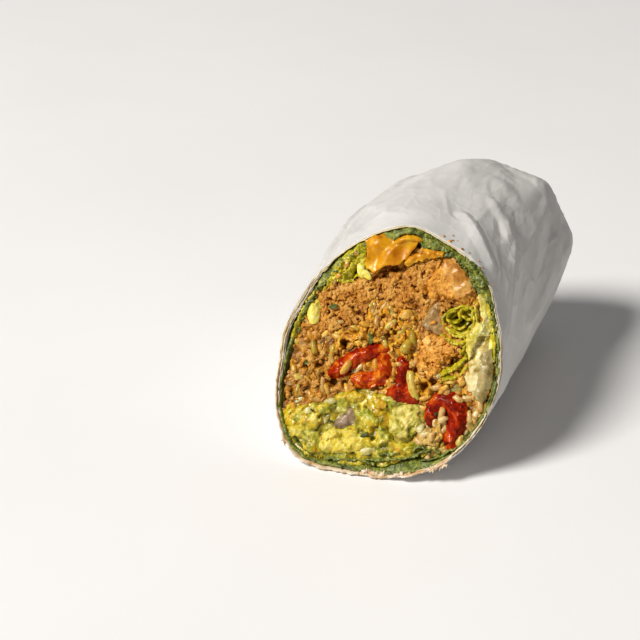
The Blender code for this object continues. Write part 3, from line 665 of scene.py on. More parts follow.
def joined(name, parts):
    """One mesh of many small shapes; each part is a shape's points, its faces and its matrix."""
    points, shade_heights, faces, start = [], [], [], 0
    for shape_points, shape_faces, matrix in parts:
        turned = shape_points @ np.array(matrix.to_3x3()).T + np.array(matrix.translation)
        points.append(turned)
        # Painted shade: the side of each bit that faces into the cut gets a low height, so it is darkened.
        upward = shape_points @ np.array(matrix.to_3x3().normalized()).T @ np.array(FACE_OUT)
        shade_heights.append(0.45 + 0.7 * upward)
        faces += [[index + start for index in face] for face in shape_faces]
        start += len(turned)
    mesh = bpy.data.meshes.new(name)
    mesh.from_pydata(np.concatenate(points).tolist(), [], faces)
    mesh.attributes.new("height", "FLOAT", "POINT").data.foreach_set(
        "value", np.concatenate(shade_heights).astype(np.float32))
    mesh.update()
    return mesh


def crumb_shape(seed, rough=0.5, size=0.9, splits=2):
    """A lumpy crumb one unit across."""
    data = bmesh.new()
    bmesh.ops.create_icosphere(data, subdivisions=splits, radius=0.5)
    for vert in data.verts:
        where = vert.co * (2 / size) + Vector((seed * 3.7, seed * 1.3, 0))
        vert.co *= 1 + rough * noise.noise(where) * 1.6 + 0.15 * noise.noise(where * 2.3)
    points = np.array([vert.co[:] for vert in data.verts])
    faces = [[vert.index for vert in face.verts] for face in data.faces]
    data.free()
    return points, faces


def grain_shape(seed):
    """A rice grain one unit long along X: plump, a little bent and blunt at its ends."""
    chance = random.Random(seed)
    bend = chance.uniform(-0.1, 0.1)
    groove = chance.uniform(0.02, 0.07)
    points, faces = [], []
    sides = 9
    stations = (0, 0.02, 0.08, 0.18, 0.34, 0.55, 0.74, 0.86, 0.94, 0.985, 1)
    for t in stations:
        swell = (4 * t * (1 - t)) ** 0.3 * (1 + 0.1 * math.sin(5 * t + seed))
        for side in range(sides):
            angle = FULL_TURN * side / sides
            reach = 0.5 * swell * (1 - groove * math.cos(angle) ** 8 * 3)
            points.append((t - 0.5, reach * math.cos(angle) + bend * (2 * t - 1) ** 2,
                           reach * math.sin(angle)))
    for row in range(len(stations) - 1):
        for side in range(sides):
            after = (side + 1) % sides
            a, b = row * sides + side, row * sides + after
            faces.append((a, b, b + sides, a + sides))
    lumps = [1 + 0.3 * noise.noise(Vector(point) * 2.6 + Vector((seed * 2.3, 0, 0)))
             for point in points]
    return np.array(points) * np.array(lumps)[:, None], faces


def flake_shape(seed):
    """A thin crumpled flake one unit across."""
    chance = random.Random(seed)
    points, faces = [(0, 0, 0)], []
    sides = 7
    for ring, reach in ((1, 0.28), (2, 0.5)):
        for side in range(sides):
            angle = FULL_TURN * side / sides
            r = reach * chance.uniform(0.75, 1.2)
            points.append((r * math.cos(angle), r * math.sin(angle) * 0.7,
                           0.16 * ring * math.sin(angle * 2 + seed)))
    for side in range(sides):
        after = (side + 1) % sides
        faces.append((0, 1 + side, 1 + after))
        faces.append((1 + side, 1 + sides + side, 1 + sides + after, 1 + after))
    count = len(points)
    points += [(x, y, z - 0.09) for x, y, z in points]
    faces += [tuple(index + count for index in reversed(face)) for face in faces]
    for side in range(sides):
        a, b = 1 + sides + side, 1 + sides + (side + 1) % sides
        faces.append((a, a + count, b + count, b))
    return np.array(points), faces


CRUMBS = [crumb_shape(seed) for seed in range(14)]
LUMPS = [crumb_shape(seed + 20, 0.32, 1.5, 4) for seed in range(8)]
GRAINS = [grain_shape(seed) for seed in range(12)]
FLAKES = [flake_shape(seed) for seed in range(8)]


class Ground:
    """The relief of the pieces on the cut face, for things to lie on."""

    def __init__(self, pieces):
        points, faces = [], []
        self.owners = []
        for piece in pieces:
            start = len(points)
            points += [vert.co.copy() for vert in piece.data.vertices]
            for face in piece.data.polygons:
                faces.append([index + start for index in face.vertices])
                self.owners.append(piece.name.removesuffix("_food"))
        self.tree = BVHTree.FromPolygons(points, faces)

    def at(self, u, v):
        """Height of the relief at a place and the name of the filling there."""
        hit = self.tree.ray_cast(on_face(u, v, 15), -FACE_OUT, 0.03)
        if hit[0] is None:
            return None, None
        return face_place(hit[0])[2], self.owners[hit[2]]

    def spots(self, chance, nodes, count, apart):
        """Random places on some of the fillings, kept some way apart."""
        found = []
        for _ in range(count * TRIES):
            if len(found) == count:
                break
            u, v = chance.uniform(*FACE_WIDE), chance.uniform(*FACE_HIGH)
            if any((u - a) ** 2 + (v - b) ** 2 < apart ** 2 for a, b, _ in found):
                continue
            height, owner = self.at(u, v)
            if owner in nodes:
                found.append((u, v, height))
        return found


def lying(u, v, out, turn, tilt, roll, size):
    """Matrix that lays a shape on the cut face; size is its length, width and height in mm."""
    turned = Matrix.Rotation(math.pi / 2 - FACE_TILT, 4, "X") @ Matrix.Rotation(turn, 4, "Z")
    turned = turned @ Matrix.Rotation(tilt, 4, "Y") @ Matrix.Rotation(roll, 4, "X")
    scale = Matrix.Diagonal((*(length * MM for length in size), 1))
    return Matrix.Translation(on_face(u, v, out)) @ turned @ scale


def scatter(ground, name, look, slot, shapes, nodes, count, apart, sizes, seed, sink, flat=0.8):
    """Many small shapes laid on some of the fillings, as one piece."""
    chance = random.Random(seed)
    parts = []
    for u, v, height in ground.spots(chance, nodes, count, apart):
        shape = chance.choice(shapes)
        length, width = chance.uniform(*sizes[0]), chance.uniform(*sizes[1])
        turn, tilt = chance.uniform(0, FULL_TURN), chance.uniform(-LEAN, LEAN)
        roll = chance.uniform(0, FULL_TURN) if flat >= 0.8 else 0
        out = height + width * (0.5 - sink)
        parts.append((*shape, lying(u, v, out, turn, tilt, roll, (length, width, width * flat))))
    add_piece(name, joined(name, parts), look)


def place_all(ground, name, look, slot, shapes, places, seed, sink, flat=0.85):
    """Shapes laid at given places: u, v, length, width and turn in degrees."""
    chance = random.Random(seed)
    parts = []
    for u, v, length, width, turn in places:
        shape = chance.choice(shapes)
        tilt = chance.uniform(-0.15, 0.15)
        out = ground.at(u, v)[0] + width * (0.5 - sink)
        parts.append((*shape, lying(u, v, out, math.radians(turn), tilt, 0,
                                    (length, width, width * flat))))
    add_piece(name, joined(name, parts), look)


# ---- thin sheets and leaves

def along(path, count):
    """Evenly spaced places on a smooth curve through the points of a path."""
    points = [Vector(point) for point in path]
    points = [points[0] * 2 - points[1], *points, points[-1] * 2 - points[-2]]
    found = []
    for step in range(count):
        place = step / (count - 1) * (len(points) - 3)
        first = min(int(place), len(points) - 4)
        t = place - first
        a, b, c, d = points[first:first + 4]
        found.append(b + 0.5 * t * (c - a + t * (2 * a - 5 * b + 4 * c - d
                                                 + t * (3 * (b - c) + d - a))))
    return found


def loft(paths, thickness, ripple, size, seed, steps, ragged):
    """A thin rippled sheet through paths of u, v and out in mm; returns points and faces."""
    count, across = steps
    last, top, total = count - 1, across - 1, count * across
    rows = [along(path, count) for path in paths]
    columns = [along([row[index] for row in rows], across) for index in range(count)]
    fronts, backs = [], []
    for i in range(count):
        for j in range(across):
            point = columns[i][j]
            onward = columns[min(i + 1, last)][j] - columns[max(i - 1, 0)][j]
            upward = columns[i][min(j + 1, top)] - columns[i][max(j - 1, 0)]
            normal = onward.cross(upward).normalized()
            where = Vector((point.x / size, point.y / size, point.z / size + seed))
            edge = abs(2 * j / top - 1) ** 3
            end = abs(2 * i / last - 1) ** 9
            slide = upward.normalized() * ragged * edge * noise.noise(where * 3.1)
            slide += onward.normalized() * ragged * end * noise.noise(where * 2.3)
            out = noise.fractal(where, *FRACTAL, 3) * ripple
            half = thickness * (0.55 if min(i, j, last - i, top - j) == 0 else 1) / 2
            fronts.append(on_face(*(point + slide + normal * (out + half))))
            backs.append(on_face(*(point + slide + normal * (out - half))))

    def at(i, j):
        return i * across + j

    faces, walls = [], []
    for i in range(last):
        for j in range(top):
            square = (at(i, j), at(i + 1, j), at(i + 1, j + 1), at(i, j + 1))
            faces += [square, [index + total for index in reversed(square)]]
    for i in range(last):
        walls += [(at(i + 1, 0), at(i, 0)), (at(i, top), at(i + 1, top))]
    for j in range(top):
        walls += [(at(0, j), at(0, j + 1)), (at(last, j + 1), at(last, j))]
    faces += [(a, b, b + total, a + total) for a, b in walls]
    return fronts + backs, faces


def add_sheets(name, look, sheets):
    """Several lofted sheets as one piece, none of it below the floor."""
    points, faces = [], []
    for sheet_points, sheet_faces in sheets:
        start = len(points)
        points += [(point.x, point.y, max(point.z, FLOOR_GAP)) for point in sheet_points]
        faces += [[index + start for index in face] for face in sheet_faces]
    add_piece(name, closed_mesh(name, points, faces), look)


def spiral(u, v, radius, turns, start, inward, out):
    """A path that curls round a place on the cut and closes in by inward mm."""
    path = []
    for step in range(27):
        t = step / 26
        angle = math.radians(start) - FULL_TURN * turns * t
        reach = (radius - inward * t) * (1 + 0.1 * math.sin(3 * angle + start))
        path.append((u + reach * math.cos(angle), v + reach * 0.92 * math.sin(angle),
                     out + 0.5 * math.sin(5 * angle)))
    return path


def ribbon(path, out, depth, thickness, ripple, size, seed, steps=(60, 10), ragged=0.6,
           lean=(0, 3.1)):
    """A leaf's edge that stands out of the cut along a path of u, v and leans back into the roll."""
    top = [(u, v, out + 0.4 * math.sin(index * 2.1 + seed)) for index, (u, v) in enumerate(path)]
    low = [(u + lean[0], v + lean[1], out - depth * math.cos(FACE_TILT)) for u, v in path]
    return loft([top, low], thickness, ripple, size, seed, steps, ragged)


def make_lettuce():
    lettuce = leaf_look("lettuce_leaf_look", (116, 118, 2), (184, 168, 14), (228, 208, 66))
    curl = []
    for index, (u, v, radius, turns, start, inward, reach) in enumerate((
            (22.6, 17.4, 5.7, 0.98, 205, 0.5, 0.9),
            (20.3, 18.6, 2.5, 0.95, 60, 0.6, 1.5),
            (25, 20.4, 2.5, 0.9, 300, 0.6, 1.4))):
        top = spiral(u, v, radius, turns, start, inward, reach)
        low = spiral(u + 0.2, v + 1.6, radius * 0.9, turns, start, inward * 0.9, reach - 5)
        curl.append(loft([top, low], 0.95, 0.5, 3, index * 3, (90, 12), 0.8))
    for index, path in enumerate((
            ((17.8, 14.4), (20.4, 12.4), (23.4, 12), (26.2, 14.6)),
            ((19.6, 15.9), (22.2, 14.4), (24.8, 15.8)),
            ((16.6, 12), (20, 10), (23.8, 9.4), (26.8, 11.6)),
            ((26.6, 24.6), (27.6, 21), (28.4, 17.6), (27.2, 14)))):
        curl.append(ribbon(path, 0.9, 6, 0.9, 0.4, 2.6, 20 + index))
    add_sheets("lettuce_curl_leaves", lettuce, curl)
    folds = [
        ribbon(((27.4, 27.2), (29, 23.2), (30.4, 19.6), (30.6, 16.4), (29.8, 13.6)), 1.3, 2.4, 0.7, 0.8,
            3.4, 33, (60, 18), 0.9, (3.4, 0.6)),
        loft([
            [(29, 18, 0.8), (26.2, 13.4, 0.6), (26.2, 9, 0.4), (27.4, 5, 0.2)],
            [(30, 17.6, 2), (27.8, 13, 2.2), (27.6, 8.8, 1.8), (28, 5.4, 1)],
            [(31.4, 16.4, 1.6), (29.8, 12.2, 1.4), (28.8, 9, 1.2), (28.4, 6, 0.6)]], 0.7, 0.75, 3.2, 15,
             (40, 18), 0.8)]
    pale = leaf_look("lettuce_fold_look", (176, 158, 34), (226, 208, 96), (250, 242, 196))
    add_sheets("lettuce_band_folds", pale, folds)
    rib_edge = [
        loft([
            [(34.8, 9.4, 0.2), (36.2, 4.4, 0.2), (36.8, -0.8, 0.2), (36.2, -5.4, 0.2), (34.4, -9.4, 0.1)],
            [(33.2, 8.4, 1), (34, 3.8, 1.4), (34.2, -1, 1.6), (33.8, -5.4, 1.3), (32.6, -8.8, 0.9)],
            [(31.6, 6.6, 0.4), (31.8, 3.4, 0.6), (31.8, -1, 0.6), (31.4, -4.8, 0.8), (30.4, -7.8, 0.4)]],
             0.8, 0.5, 3.6, 21, (60, 20), 0.6)]
    rib = smooth_look("rib_edge_look", (104, 86, 26), (136, 116, 58), (172, 154, 100))
    add_sheets("lettuce_rib_edge", rib, rib_edge)
    edge = [
        ribbon(((30.6, 27.4), (32.4, 22.8), (34.4, 17.4), (36, 11.4), (36.4, 5)), 0.6, 2.6, 0.8, 0.4, 4.2,
            31, (70, 14), 0.6, (-1.6, -0.8)),
        ribbon(((24.8, 13), (25.2, 9.6), (24, 6.2)), 0.8, 3, 0.8, 0.4, 2.8, 34, (40, 12), 0.8,
            (1.6, 0.2)),
        ribbon(((18.2, -2.4), (21.2, -0.8), (24.2, 1.6), (26.8, 5.4)), 0.8, 3, 0.9, 0.6, 2.2, 35,
            (50, 12), 0.8, (-0.6, 1.8)),
        ribbon(((18.8, -4), (22.2, -2.8), (25.4, -1), (27.4, 2.2)), 0.5, 3, 0.9, 0.6, 2.2, 38, (50, 12),
            0.8, (-0.6, 1.8)),
        ribbon(((-27.2, 22.4), (-25.6, 28.4), (-22, 33.4), (-16.8, 38.2)), 0.6, 3, 0.8, 1.1, 3.2, 36,
            (70, 16), 1.2, (2.4, -1.6)),
        ribbon(((-22.6, 26.6), (-20, 31), (-16.2, 34.8)), 1.3, 3, 0.8, 1.1, 2.8, 37, (50, 16), 1.2,
            (2, -1.2)),
        ribbon(((-31, 21.4), (-33.6, 16.4), (-35.2, 11), (-36.6, 4.6)), 0.9, 3, 0.9, 0.5, 2.6, 40,
            (50, 12), 0.8, (1.6, -0.2))]
    add_sheets("lettuce_edges", lettuce, edge)


def make_turkey_slab():
    slab = [
        loft([
            [(17.4, 38.8, 0.2), (20.8, 36, 0.6), (23.8, 32.6, 0.4), (26.4, 28.4, 0)],
            [(16, 38.2, 1.5), (19.4, 35.2, 1.9), (22.4, 31.8, 1.6), (25, 27.6, 1.2)],
            [(14.2, 36.8, 1.7), (17.2, 33.4, 2.2), (19.8, 30, 1.8), (22.4, 26, 1.3)],
            [(13, 35.8, 0.8), (15.6, 32.2, 1.2), (18, 28.8, 1), (20.4, 25, 0.6)]], 0.9, 0.7, 3.4, 9,
             (44, 26), 1.2)]
    meat = smooth_look("turkey_slab_look", (166, 104, 28), (200, 140, 56), (222, 174, 98))
    add_sheets("turkey_slab", meat, slab)


def make_cheese_folds():
    draped_sheets = [
        loft([
            [(-15.6, 42.2, 0.2), (-10.6, 44.3, 0.8), (-5.4, 43.9, 0.4), (0.2, 45.7, 1.2),
             (5.4, 45.1, 0.5)],
            [(-14.4, 39.6, 0.9), (-10.2, 40.8, 2.2), (-5.2, 41.6, 1), (0, 43.6, 2), (5, 44.4, 1.1)],
            [(-13.6, 35.4, 1.2), (-10.2, 36.2, 0.7), (-5.6, 38.2, 2.2), (-0.8, 40.6, 1),
             (4.4, 43.6, 1.1)],
            [(-13.6, 31.8, 0.4), (-9.6, 31, 1.2), (-6.4, 33.6, 1.9), (-0.8, 35.2, 1.7), (3.6, 42, 0.4)]],
             0.5, 0.25, 6, 2, (72, 44), 0.9),
        loft([
            [(-4.4, 42.6, 1.2), (-1.4, 44.6, 2), (2.2, 45.2, 1.8), (5.8, 44.6, 0.8)],
            [(-4, 41.8, 1.6), (-1, 43.4, 2.8), (2.2, 44, 2.4), (5.4, 43.8, 1.2)],
            [(-3.2, 41, 1.3), (-0.8, 42.6, 1.8), (1.8, 43.4, 1.8), (4.4, 43.4, 1)]], 0.45, 0.25, 4, 7,
             (40, 16), 0.6),
        loft([
            [(0.4, 36.4, 0.4), (3.6, 39.2, 1), (8, 41.2, 0.8), (13.8, 40.9, 0.4)],
            [(0.6, 35.4, 1.2), (4.2, 37.8, 1.9), (8.6, 39.7, 1.2), (13.6, 39.9, 0.9)],
            [(1.2, 34.4, 0.5), (5, 36.2, 1.1), (9.2, 38.2, 0.6), (13.4, 39.1, 0.3)]], 0.45, 0.5, 3.2, 5,
             (54, 22), 0.8)]
    add_sheets("cheese_folds", cheese_look(), draped_sheets)


# ---- tortilla and paper

def band(name, radius, front, thickness, angles, depth, closed):
    """A thin sheet round the roll that ends at the cut: radius by angle and y, both in metres."""
    rings = []
    for angle in angles:
        y = 0
        for _ in range(5):
            y = radius(angle, y) * math.sin(angle) * math.tan(FACE_TILT)
        start = y - front(angle)
        half = thickness(angle) / 2
        outer, inner = [], []
        for row in range(BAND_ROWS + 1):
            s = start + depth * (row / BAND_ROWS) ** 1.5
            r = radius(angle, s)
            outer.append(axis_at(s) + radial(angle) * (r + half))
            inner.append(axis_at(s) + radial(angle) * (r - half))
        tip = axis_at(start - half * 0.7) + radial(angle) * radius(angle, start)
        ring = outer[::-1] + [tip] + inner
        for point in ring:
            point.z = max(point.z, FLOOR_GAP)
        rings.append(ring)
    count, total = len(rings[0]), len(rings)
    faces = []
    for index in range(total if closed else total - 1):
        here, after = index * count, (index + 1) % total * count
        for step in range(count):
            ahead = (step + 1) % count
            faces.append((here + step, after + step, after + ahead, here + ahead))
    if not closed:
        faces.append(range(count))
        faces.append([(total - 1) * count + step for step in reversed(range(count))])
    return closed_mesh(name, [point for ring in rings for point in ring], faces)


def round_roll(low, high, steps):
    """Angles in radians from a low to a high one in degrees."""
    return [math.radians(low + (high - low) * step / steps) for step in range(steps + 1)]


def make_tortilla():
    look = tortilla_look()
    data = welded("tortilla")
    for vert in data.verts:
        if face_place(vert.co)[2] > -0.5:
            vert.co.y += CORE_BACK
    mesh = written(data, bpy.data.meshes.new("tortilla_core"))
    add_piece("tortilla_core", mesh, look, ["tortilla"])
    around = [FULL_TURN * step / 420 for step in range(420)]

    def leaf(name, share, thick, wobble, reach, seed, span=None):
        def radius(angle, y):
            outside = ring_radius(TORTILLA_TREE, angle, y)
            inside = ring_radius(TORTILLA_TREE, angle, y, outside=False)
            r = mix(inside, outside, share)
            r += wobble * MM * turn_noise(angle, 7, seed) * (1 if share < 0.9 else 0.3)
            return min(r, outside + 0.1 * MM - thickness(angle) / 2)

        def front(angle):
            return (reach + 0.8 * turn_noise(angle, 5, seed + 5)
                    + 0.35 * turn_noise(angle, 1.6, seed + 9)) * MM

        def thickness(angle):
            thin = 1
            if span:
                place = (math.degrees(angle) - span[0]) / (span[1] - span[0])
                thin = max(math.sin(math.pi * min(max(place, 0), 1)), 0.05) ** 0.5
            return thick * MM * thin * (1 + 0.5 * turn_noise(angle, 4, seed + 2))

        angles = around
        if span:
            angles = round_roll(*span, max(int((span[1] - span[0]) * 1.4), 8))
        mesh = band(name, radius, front, thickness, angles, 0.01, span is None)
        add_piece(name, mesh, look)

    leaf("tortilla_outer_leaf", 0.92, 1.05, 0.2, 0.4, 1)
    leaf("tortilla_inner_leaf", 0.55, 0.5, 0.35, 0, 2)
    for index, (low, high, share) in enumerate((
            (62, 92, 0.62), (66, 88, 0.42), (32, 60, 0.62), (36, 56, 0.42), (118, 150, 0.62),
            (262, 326, 0.7), (268, 322, 0.52), (274, 318, 0.34), (322, 372, 0.55),
            (236, 262, 0.55), (262, 326, 0.86))):
        leaf(f"tortilla_fold_{index + 1}", share, 0.5, 0.45, 0.5, 3 + index, (low, high))
    rumpled = [
        loft([
            [(20.6, 40, 0.2), (24.4, 38.6, 0.8), (27.8, 35.6, 0.4), (30.4, 31.6, 0.2)],
            [(21, 38.4, 1.4), (24, 36.8, 2.2), (26.8, 33.8, 1.8), (29.2, 30.8, 1.2)],
            [(21.4, 36.8, 0.4), (23.4, 35, 0.8), (25.6, 32.2, 0.6), (27.6, 29.8, 0.2)]], 0.5, 1, 2.2, 1,
             (50, 24), 0.8),
        loft([
            [(4.6, 46.8, 0.2), (8.4, 46, 0.8), (12.4, 43.4, 0.6), (15.6, 41.6, 0.2)],
            [(5.2, 44.6, 1.6), (8.6, 43.8, 2), (12, 42.2, 1.4), (15, 41, 0.8)],
            [(6, 42.4, 0.6), (8.8, 41.6, 0.8), (11.8, 41.2, 0.6), (14.4, 40.6, 0.2)]], 0.5, 0.8, 2.6, 4,
             (50, 24), 0.8),
        loft([
            [(-5.6, 44.2, 0.6), (-2.4, 46.9, 1), (1.4, 47.9, 0.9), (5.8, 47.2, 0.5)],
            [(-5, 43.2, 1.6), (-2.2, 45.8, 2.4), (1.4, 46.8, 2.2), (5.6, 46, 1.4)],
            [(-4.2, 43, 1.2), (-1.8, 45, 2), (1.6, 45.8, 1.9), (5.4, 45.2, 1.1)]], 0.5, 0.4, 2.6, 14,
             (44, 16), 0.6),
        ribbon(((-4, -34.6), (2, -34.2), (7.4, -33), (13, -31.2), (18.4, -28.4), (22.4, -28.6)), 0.6, 6,
            0.7, 0.8, 2.4, 6, (80, 10), 0.8),
        ribbon(((0.6, -32.4), (5.6, -31.4), (10.6, -30), (15.4, -28), (19, -29.6)), 0.9, 6, 0.7, 0.8, 2.2,
            7, (80, 10), 0.8),
        ribbon(((-18, -36.6), (-12, -35.8), (-6, -35.4), (0, -35.6)), 0.5, 6, 0.6, 0.6, 2.4, 8, (60, 10),
            0.8),
        ribbon(((-30.6, -30.6), (-27, -33.6), (-22.4, -36)), 0.5, 6, 0.6, 0.5, 2.6, 9),
        ribbon(((16, -32.4), (21, -30.6), (26, -27.4), (30.4, -23)), 0.6, 6, 0.7, 0.6, 2.4, 10, (70, 10))]
    add_sheets("tortilla_folds", look, rumpled)


# Creases of the paper: depth and half width in mm, then places as degrees round and mm along.
PAPER_CREASES = (
    (0.9, 4, ((69, 44), (61, 37), (53, 31), (46, 27))),
    (0.7, 9, ((60, 28), (64, 54), (68, 78))),
    (-0.7, 9, ((40, 40), (46, 66), (50, 92))),
    (-0.4, 16, ((112, 70), (98, 86), (84, 98))),
    (-1, 1.6, ((143, 10), (141, 34), (137, 54), (126, 68))),
    (-0.9, 1.6, ((136, 12), (135, 34), (131, 56), (119, 72))),
    (-0.8, 5, ((55, 73), (49, 67), (44, 62))),
    (0.8, 4, ((60, 63), (55, 59), (50, 57), (46, 52))),
    (0.9, 7, ((60, 80), (48, 64), (37, 43), (24, 21), (18, 10))),
    (-0.35, 4, ((66, 105), (57, 99), (45, 90), (38, 98))),
    (-0.4, 9, ((62, 100), (52, 92), (44, 84))),
    (0.45, 5, ((110, 30), (104, 52), (96, 78))),
    (-0.35, 7, ((96, 70), (88, 86), (82, 104))),
    (0.6, 2.4, ((131, 14), (130, 36), (127, 57), (116, 74))),
    (-0.6, 5, ((122, 36), (112, 70), (108, 98))),
    (0.3, 5, ((88, 96), (84, 84), (76, 70))),
    (0.6, 5, ((10, 96), (8, 78), (2, 58), (4, 40))),
    (-0.6, 6, ((28, 88), (20, 70), (14, 60))),
    (0.7, 5, ((170, 20), (165, 45), (172, 80), (170, 100))),
    (0.7, 5, ((205, 14), (200, 40), (210, 90))),
    (-0.6, 5, ((150, 104), (158, 84), (150, 60))),
)
CREASE_STRENGTH = 1.6
SEAM_ANGLE = 139
ROUND_MM = 0.75


def crease_relief(degrees, s):
    """Outward relief of the paper in mm at a place round and along the roll."""
    place = Vector((degrees * ROUND_MM, s))
    total = 0
    for depth, width, path in PAPER_CREASES:
        points = [Vector((a * ROUND_MM, b)) for a, b in path]
        nearest = width
        for a, b in zip(points, points[1:]):
            side = b - a
            t = min(max((place - a).dot(side) / side.length_squared, 0), 1)
            nearest = min(nearest, (place - a - side * t).length)
        total += CREASE_STRENGTH * depth * (1 - nearest / width)
    return total


def crumple(point):
    """Facets and small folds of handled paper, in mm."""
    where = Vector((point.x, point.y * 0.8, point.z)) / (15 * MM)
    near = noise.voronoi(where + Vector((4, 1, 7)))[0]
    fold = max(0, 1 - (near[1] - near[0]) / 0.16)
    fine = noise.voronoi(where * 2.3 + Vector((1, 5, 2)))[0]
    small = max(0, 1 - (fine[1] - fine[0]) / 0.14)
    return 0.55 * near[0] + 0.22 * fold + 0.1 * small - 0.3


def make_paper():
    look = paper_look("paper_look")
    fine = crease(paper_outside())
    sheet = add_piece("paper_sheet", fine, look, ["paper_wrap"])
    sheet.modifiers.new("fewer", "DECIMATE").ratio = PAPER_SHARE
    wall = sheet.modifiers.new("wall", "SOLIDIFY")
    wall.thickness = PAPER_WALL
    wall.offset = -1
    thick = with_modifiers(sheet)
    sheet.modifiers.clear()
    sheet.data = thick
    tree = BVHTree.FromPolygons([vert.co for vert in fine.vertices],
                                [tuple(face.vertices) for face in fine.polygons])
    stained = paper_look("stained_paper_look", (200, 154, 92), (238, 224, 200), 3.5)
    make_paper_layers(tree, look, stained)
    make_shreds(stained)
    make_paper_crumbs(tree)


def paper_outside():
    """The outside of the paper's solid, split finely."""
    data = welded("paper_wrap")
    doomed = []
    for face in data.faces:
        centre = face.calc_center_median()
        middle = axis_at(min(centre.y, 0.07))
        at_cut = all(face_place(vert.co)[2] > -1.7 for vert in face.verts)
        if at_cut or face.normal.dot(centre - middle) < 0:
            doomed.append(face)
    bmesh.ops.delete(data, geom=doomed, context="FACES")
    coarse = add_object("paper_coarse", written(data, bpy.data.meshes.new("paper_sheet")))
    coarse.modifiers.new("split", "SUBSURF").levels = 3
    fine = with_modifiers(coarse)
    bpy.data.objects.remove(coarse)
    return fine


def crease(mesh):
    """Gives the paper its creases and seam: weaker near the cut and none on the floor."""
    data = bmesh.new()
    data.from_mesh(mesh)
    data.normal_update()
    moved = []
    for vert in data.verts:
        point = vert.co
        degrees = math.degrees(math.atan2(point.z - FACE_MIDDLE.z, point.x)) % 360
        if degrees > 300:
            degrees -= 360
        past = smooth(SEAM_ANGLE - 0.9, SEAM_ANGLE, degrees) * (1 - smooth(150, 200, degrees))
        past *= 1 - smooth(0.09, 0.106, point.y)
        rise = crease_relief(degrees, point.y / MM) + crumple(point) + past
        past_cut = point.y - (point.z - FACE_MIDDLE.z) * math.tan(FACE_TILT)
        rise *= 0.35 + 0.65 * smooth(0, 0.018, past_cut)
        rise -= 0.8 * (1 - smooth(0.002, 0.018, past_cut))
        free = smooth(0, 0.012, point.z)
        moved.append((vert, point + vert.normal * max(rise, -0.85) * MM * free))
    for vert, place in moved:
        vert.co = place
        vert.co.z = max(vert.co.z, 0)
        if vert.is_boundary:
            angle = math.atan2(place.z - FACE_MIDDLE.z, place.x)
            vert.co.y -= 0.35 * MM * turn_noise(angle, 4, 3.3)
    return written(data, mesh)


def make_paper_layers(tree, look, stained):
    """The inner layers of paper that show as thin edges round the cut."""
    blush = paper_look("blush_paper_look", (206, 190, 178), (222, 212, 204))
    cream = paper_look("cream_paper_look", (206, 180, 126), (230, 218, 190), 5)

    def layer(name, made_of, inset, seed, reach, angles, closed=False):
        def radius(angle, y):
            loose = 0.22 * turn_noise(angle, 14, 12) + 0.1 * turn_noise(angle, 5, seed)
            return ring_radius(tree, angle, y) - (inset - loose) * MM

        def front(angle):
            return (reach * (1 + 0.55 * turn_noise(angle, 9, seed + 3))
                    + (0.25 + 0.3 * reach) * turn_noise(angle, 2, seed + 6)) * MM

        thick = 0.55 * MM if made_of == stained else 0.3 * MM
        mesh = band(name, radius, front, lambda angle: thick, angles, 0.012, closed)
        add_piece(name, mesh, made_of)

    layer("paper_inner_layer", cream, 0.4, 11, 0.5, round_roll(0, 359, 359), True)
    for index, (made_of, inset, low, high, reach) in enumerate((
            (cream, 0.85, 136, 216, 0.8), (blush, 1.25, 140, 210, 0.4), (cream, 1.65, 144, 206, 0.9),
            (blush, 2.05, 148, 200, 0.4), (blush, 0.85, -44, 24, 0.5), (blush, 1.25, -40, 8, 0.2),
            (stained, 0.75, 184, 262, 1.6), (stained, 0.75, 262, 318, 1.9),
            (stained, 1.15, 296, 344, 1.2), (look, 0.4, 250, 320, 0.9))):
        angles = round_roll(low, high, high - low)
        layer(f"paper_layer_{index + 1}", made_of, inset, 12 + index, reach, angles)


def make_shreds(stained):
    """Torn bits of stained paper under the cut."""
    shreds = []
    for seed, (u, v, half, turn) in enumerate((
            (-2.6, -38.4, 1.6, 0.2), (0.6, -38.8, 2, -0.2), (3.4, -38.6, 1.2, 0.3),
            (9, -37.6, 1.8, 0.1), (12.4, -37, 1.6, 0.4), (21, -34, 1.7, 0.5),
            (24.4, -32.4, 1.4, 0.6), (-33.4, -32.4, 1.2, -0.9))):
        a, b = math.cos(turn) * half, math.sin(turn) * half
        paths = [[(u - a, v - b + 0.6, 0.3), (u, v + 0.7, 1), (u + a, v + b + 0.5, 0.4)],
                 [(u - a * 1.1, v - b - 0.6, 0.5), (u, v - 0.8, 1.5), (u + a, v + b - 0.7, 0.7)]]
        shreds.append(loft(paths, 0.28, 0.7, 1.3, seed * 2, (20, 9), 1.2))
    add_sheets("paper_shreds", stained, shreds)


def make_paper_crumbs(tree):
    """Crumbs that lie on the paper behind the cut, by degrees round and mm past the cut."""
    crumbs = []
    for seed, (degrees, past_cut, size) in enumerate((
            (69, 1.6, 1.3), (68, 3, 0.8), (62, 1.5, 1.1), (69, 6, 0.7), (66, 4.4, 0.5),
            (58, 2.4, 0.6), (52, 3.2, 0.7), (49, 2, 0.9), (73, 2.4, 1), (40, 1.8, 0.7))):
        angle = math.radians(degrees)
        y = ring_radius(tree, angle, 0.02) * math.sin(angle) * math.tan(FACE_TILT) + past_cut * MM
        place = axis_at(y) + radial(angle) * (ring_radius(tree, angle, y) + 0.1 * MM)
        scale = Matrix.Diagonal((size * MM, size * MM, 0.6 * size * MM, 1))
        crumbs.append((*CRUMBS[seed], Matrix.Translation(place) @ scale))
    look = crumb_look("paper_crumb_look", (164, 96, 24), (224, 164, 84))
    add_piece("paper_crumbs", joined("paper_crumbs", crumbs), look)


# ---- camera, light and floor

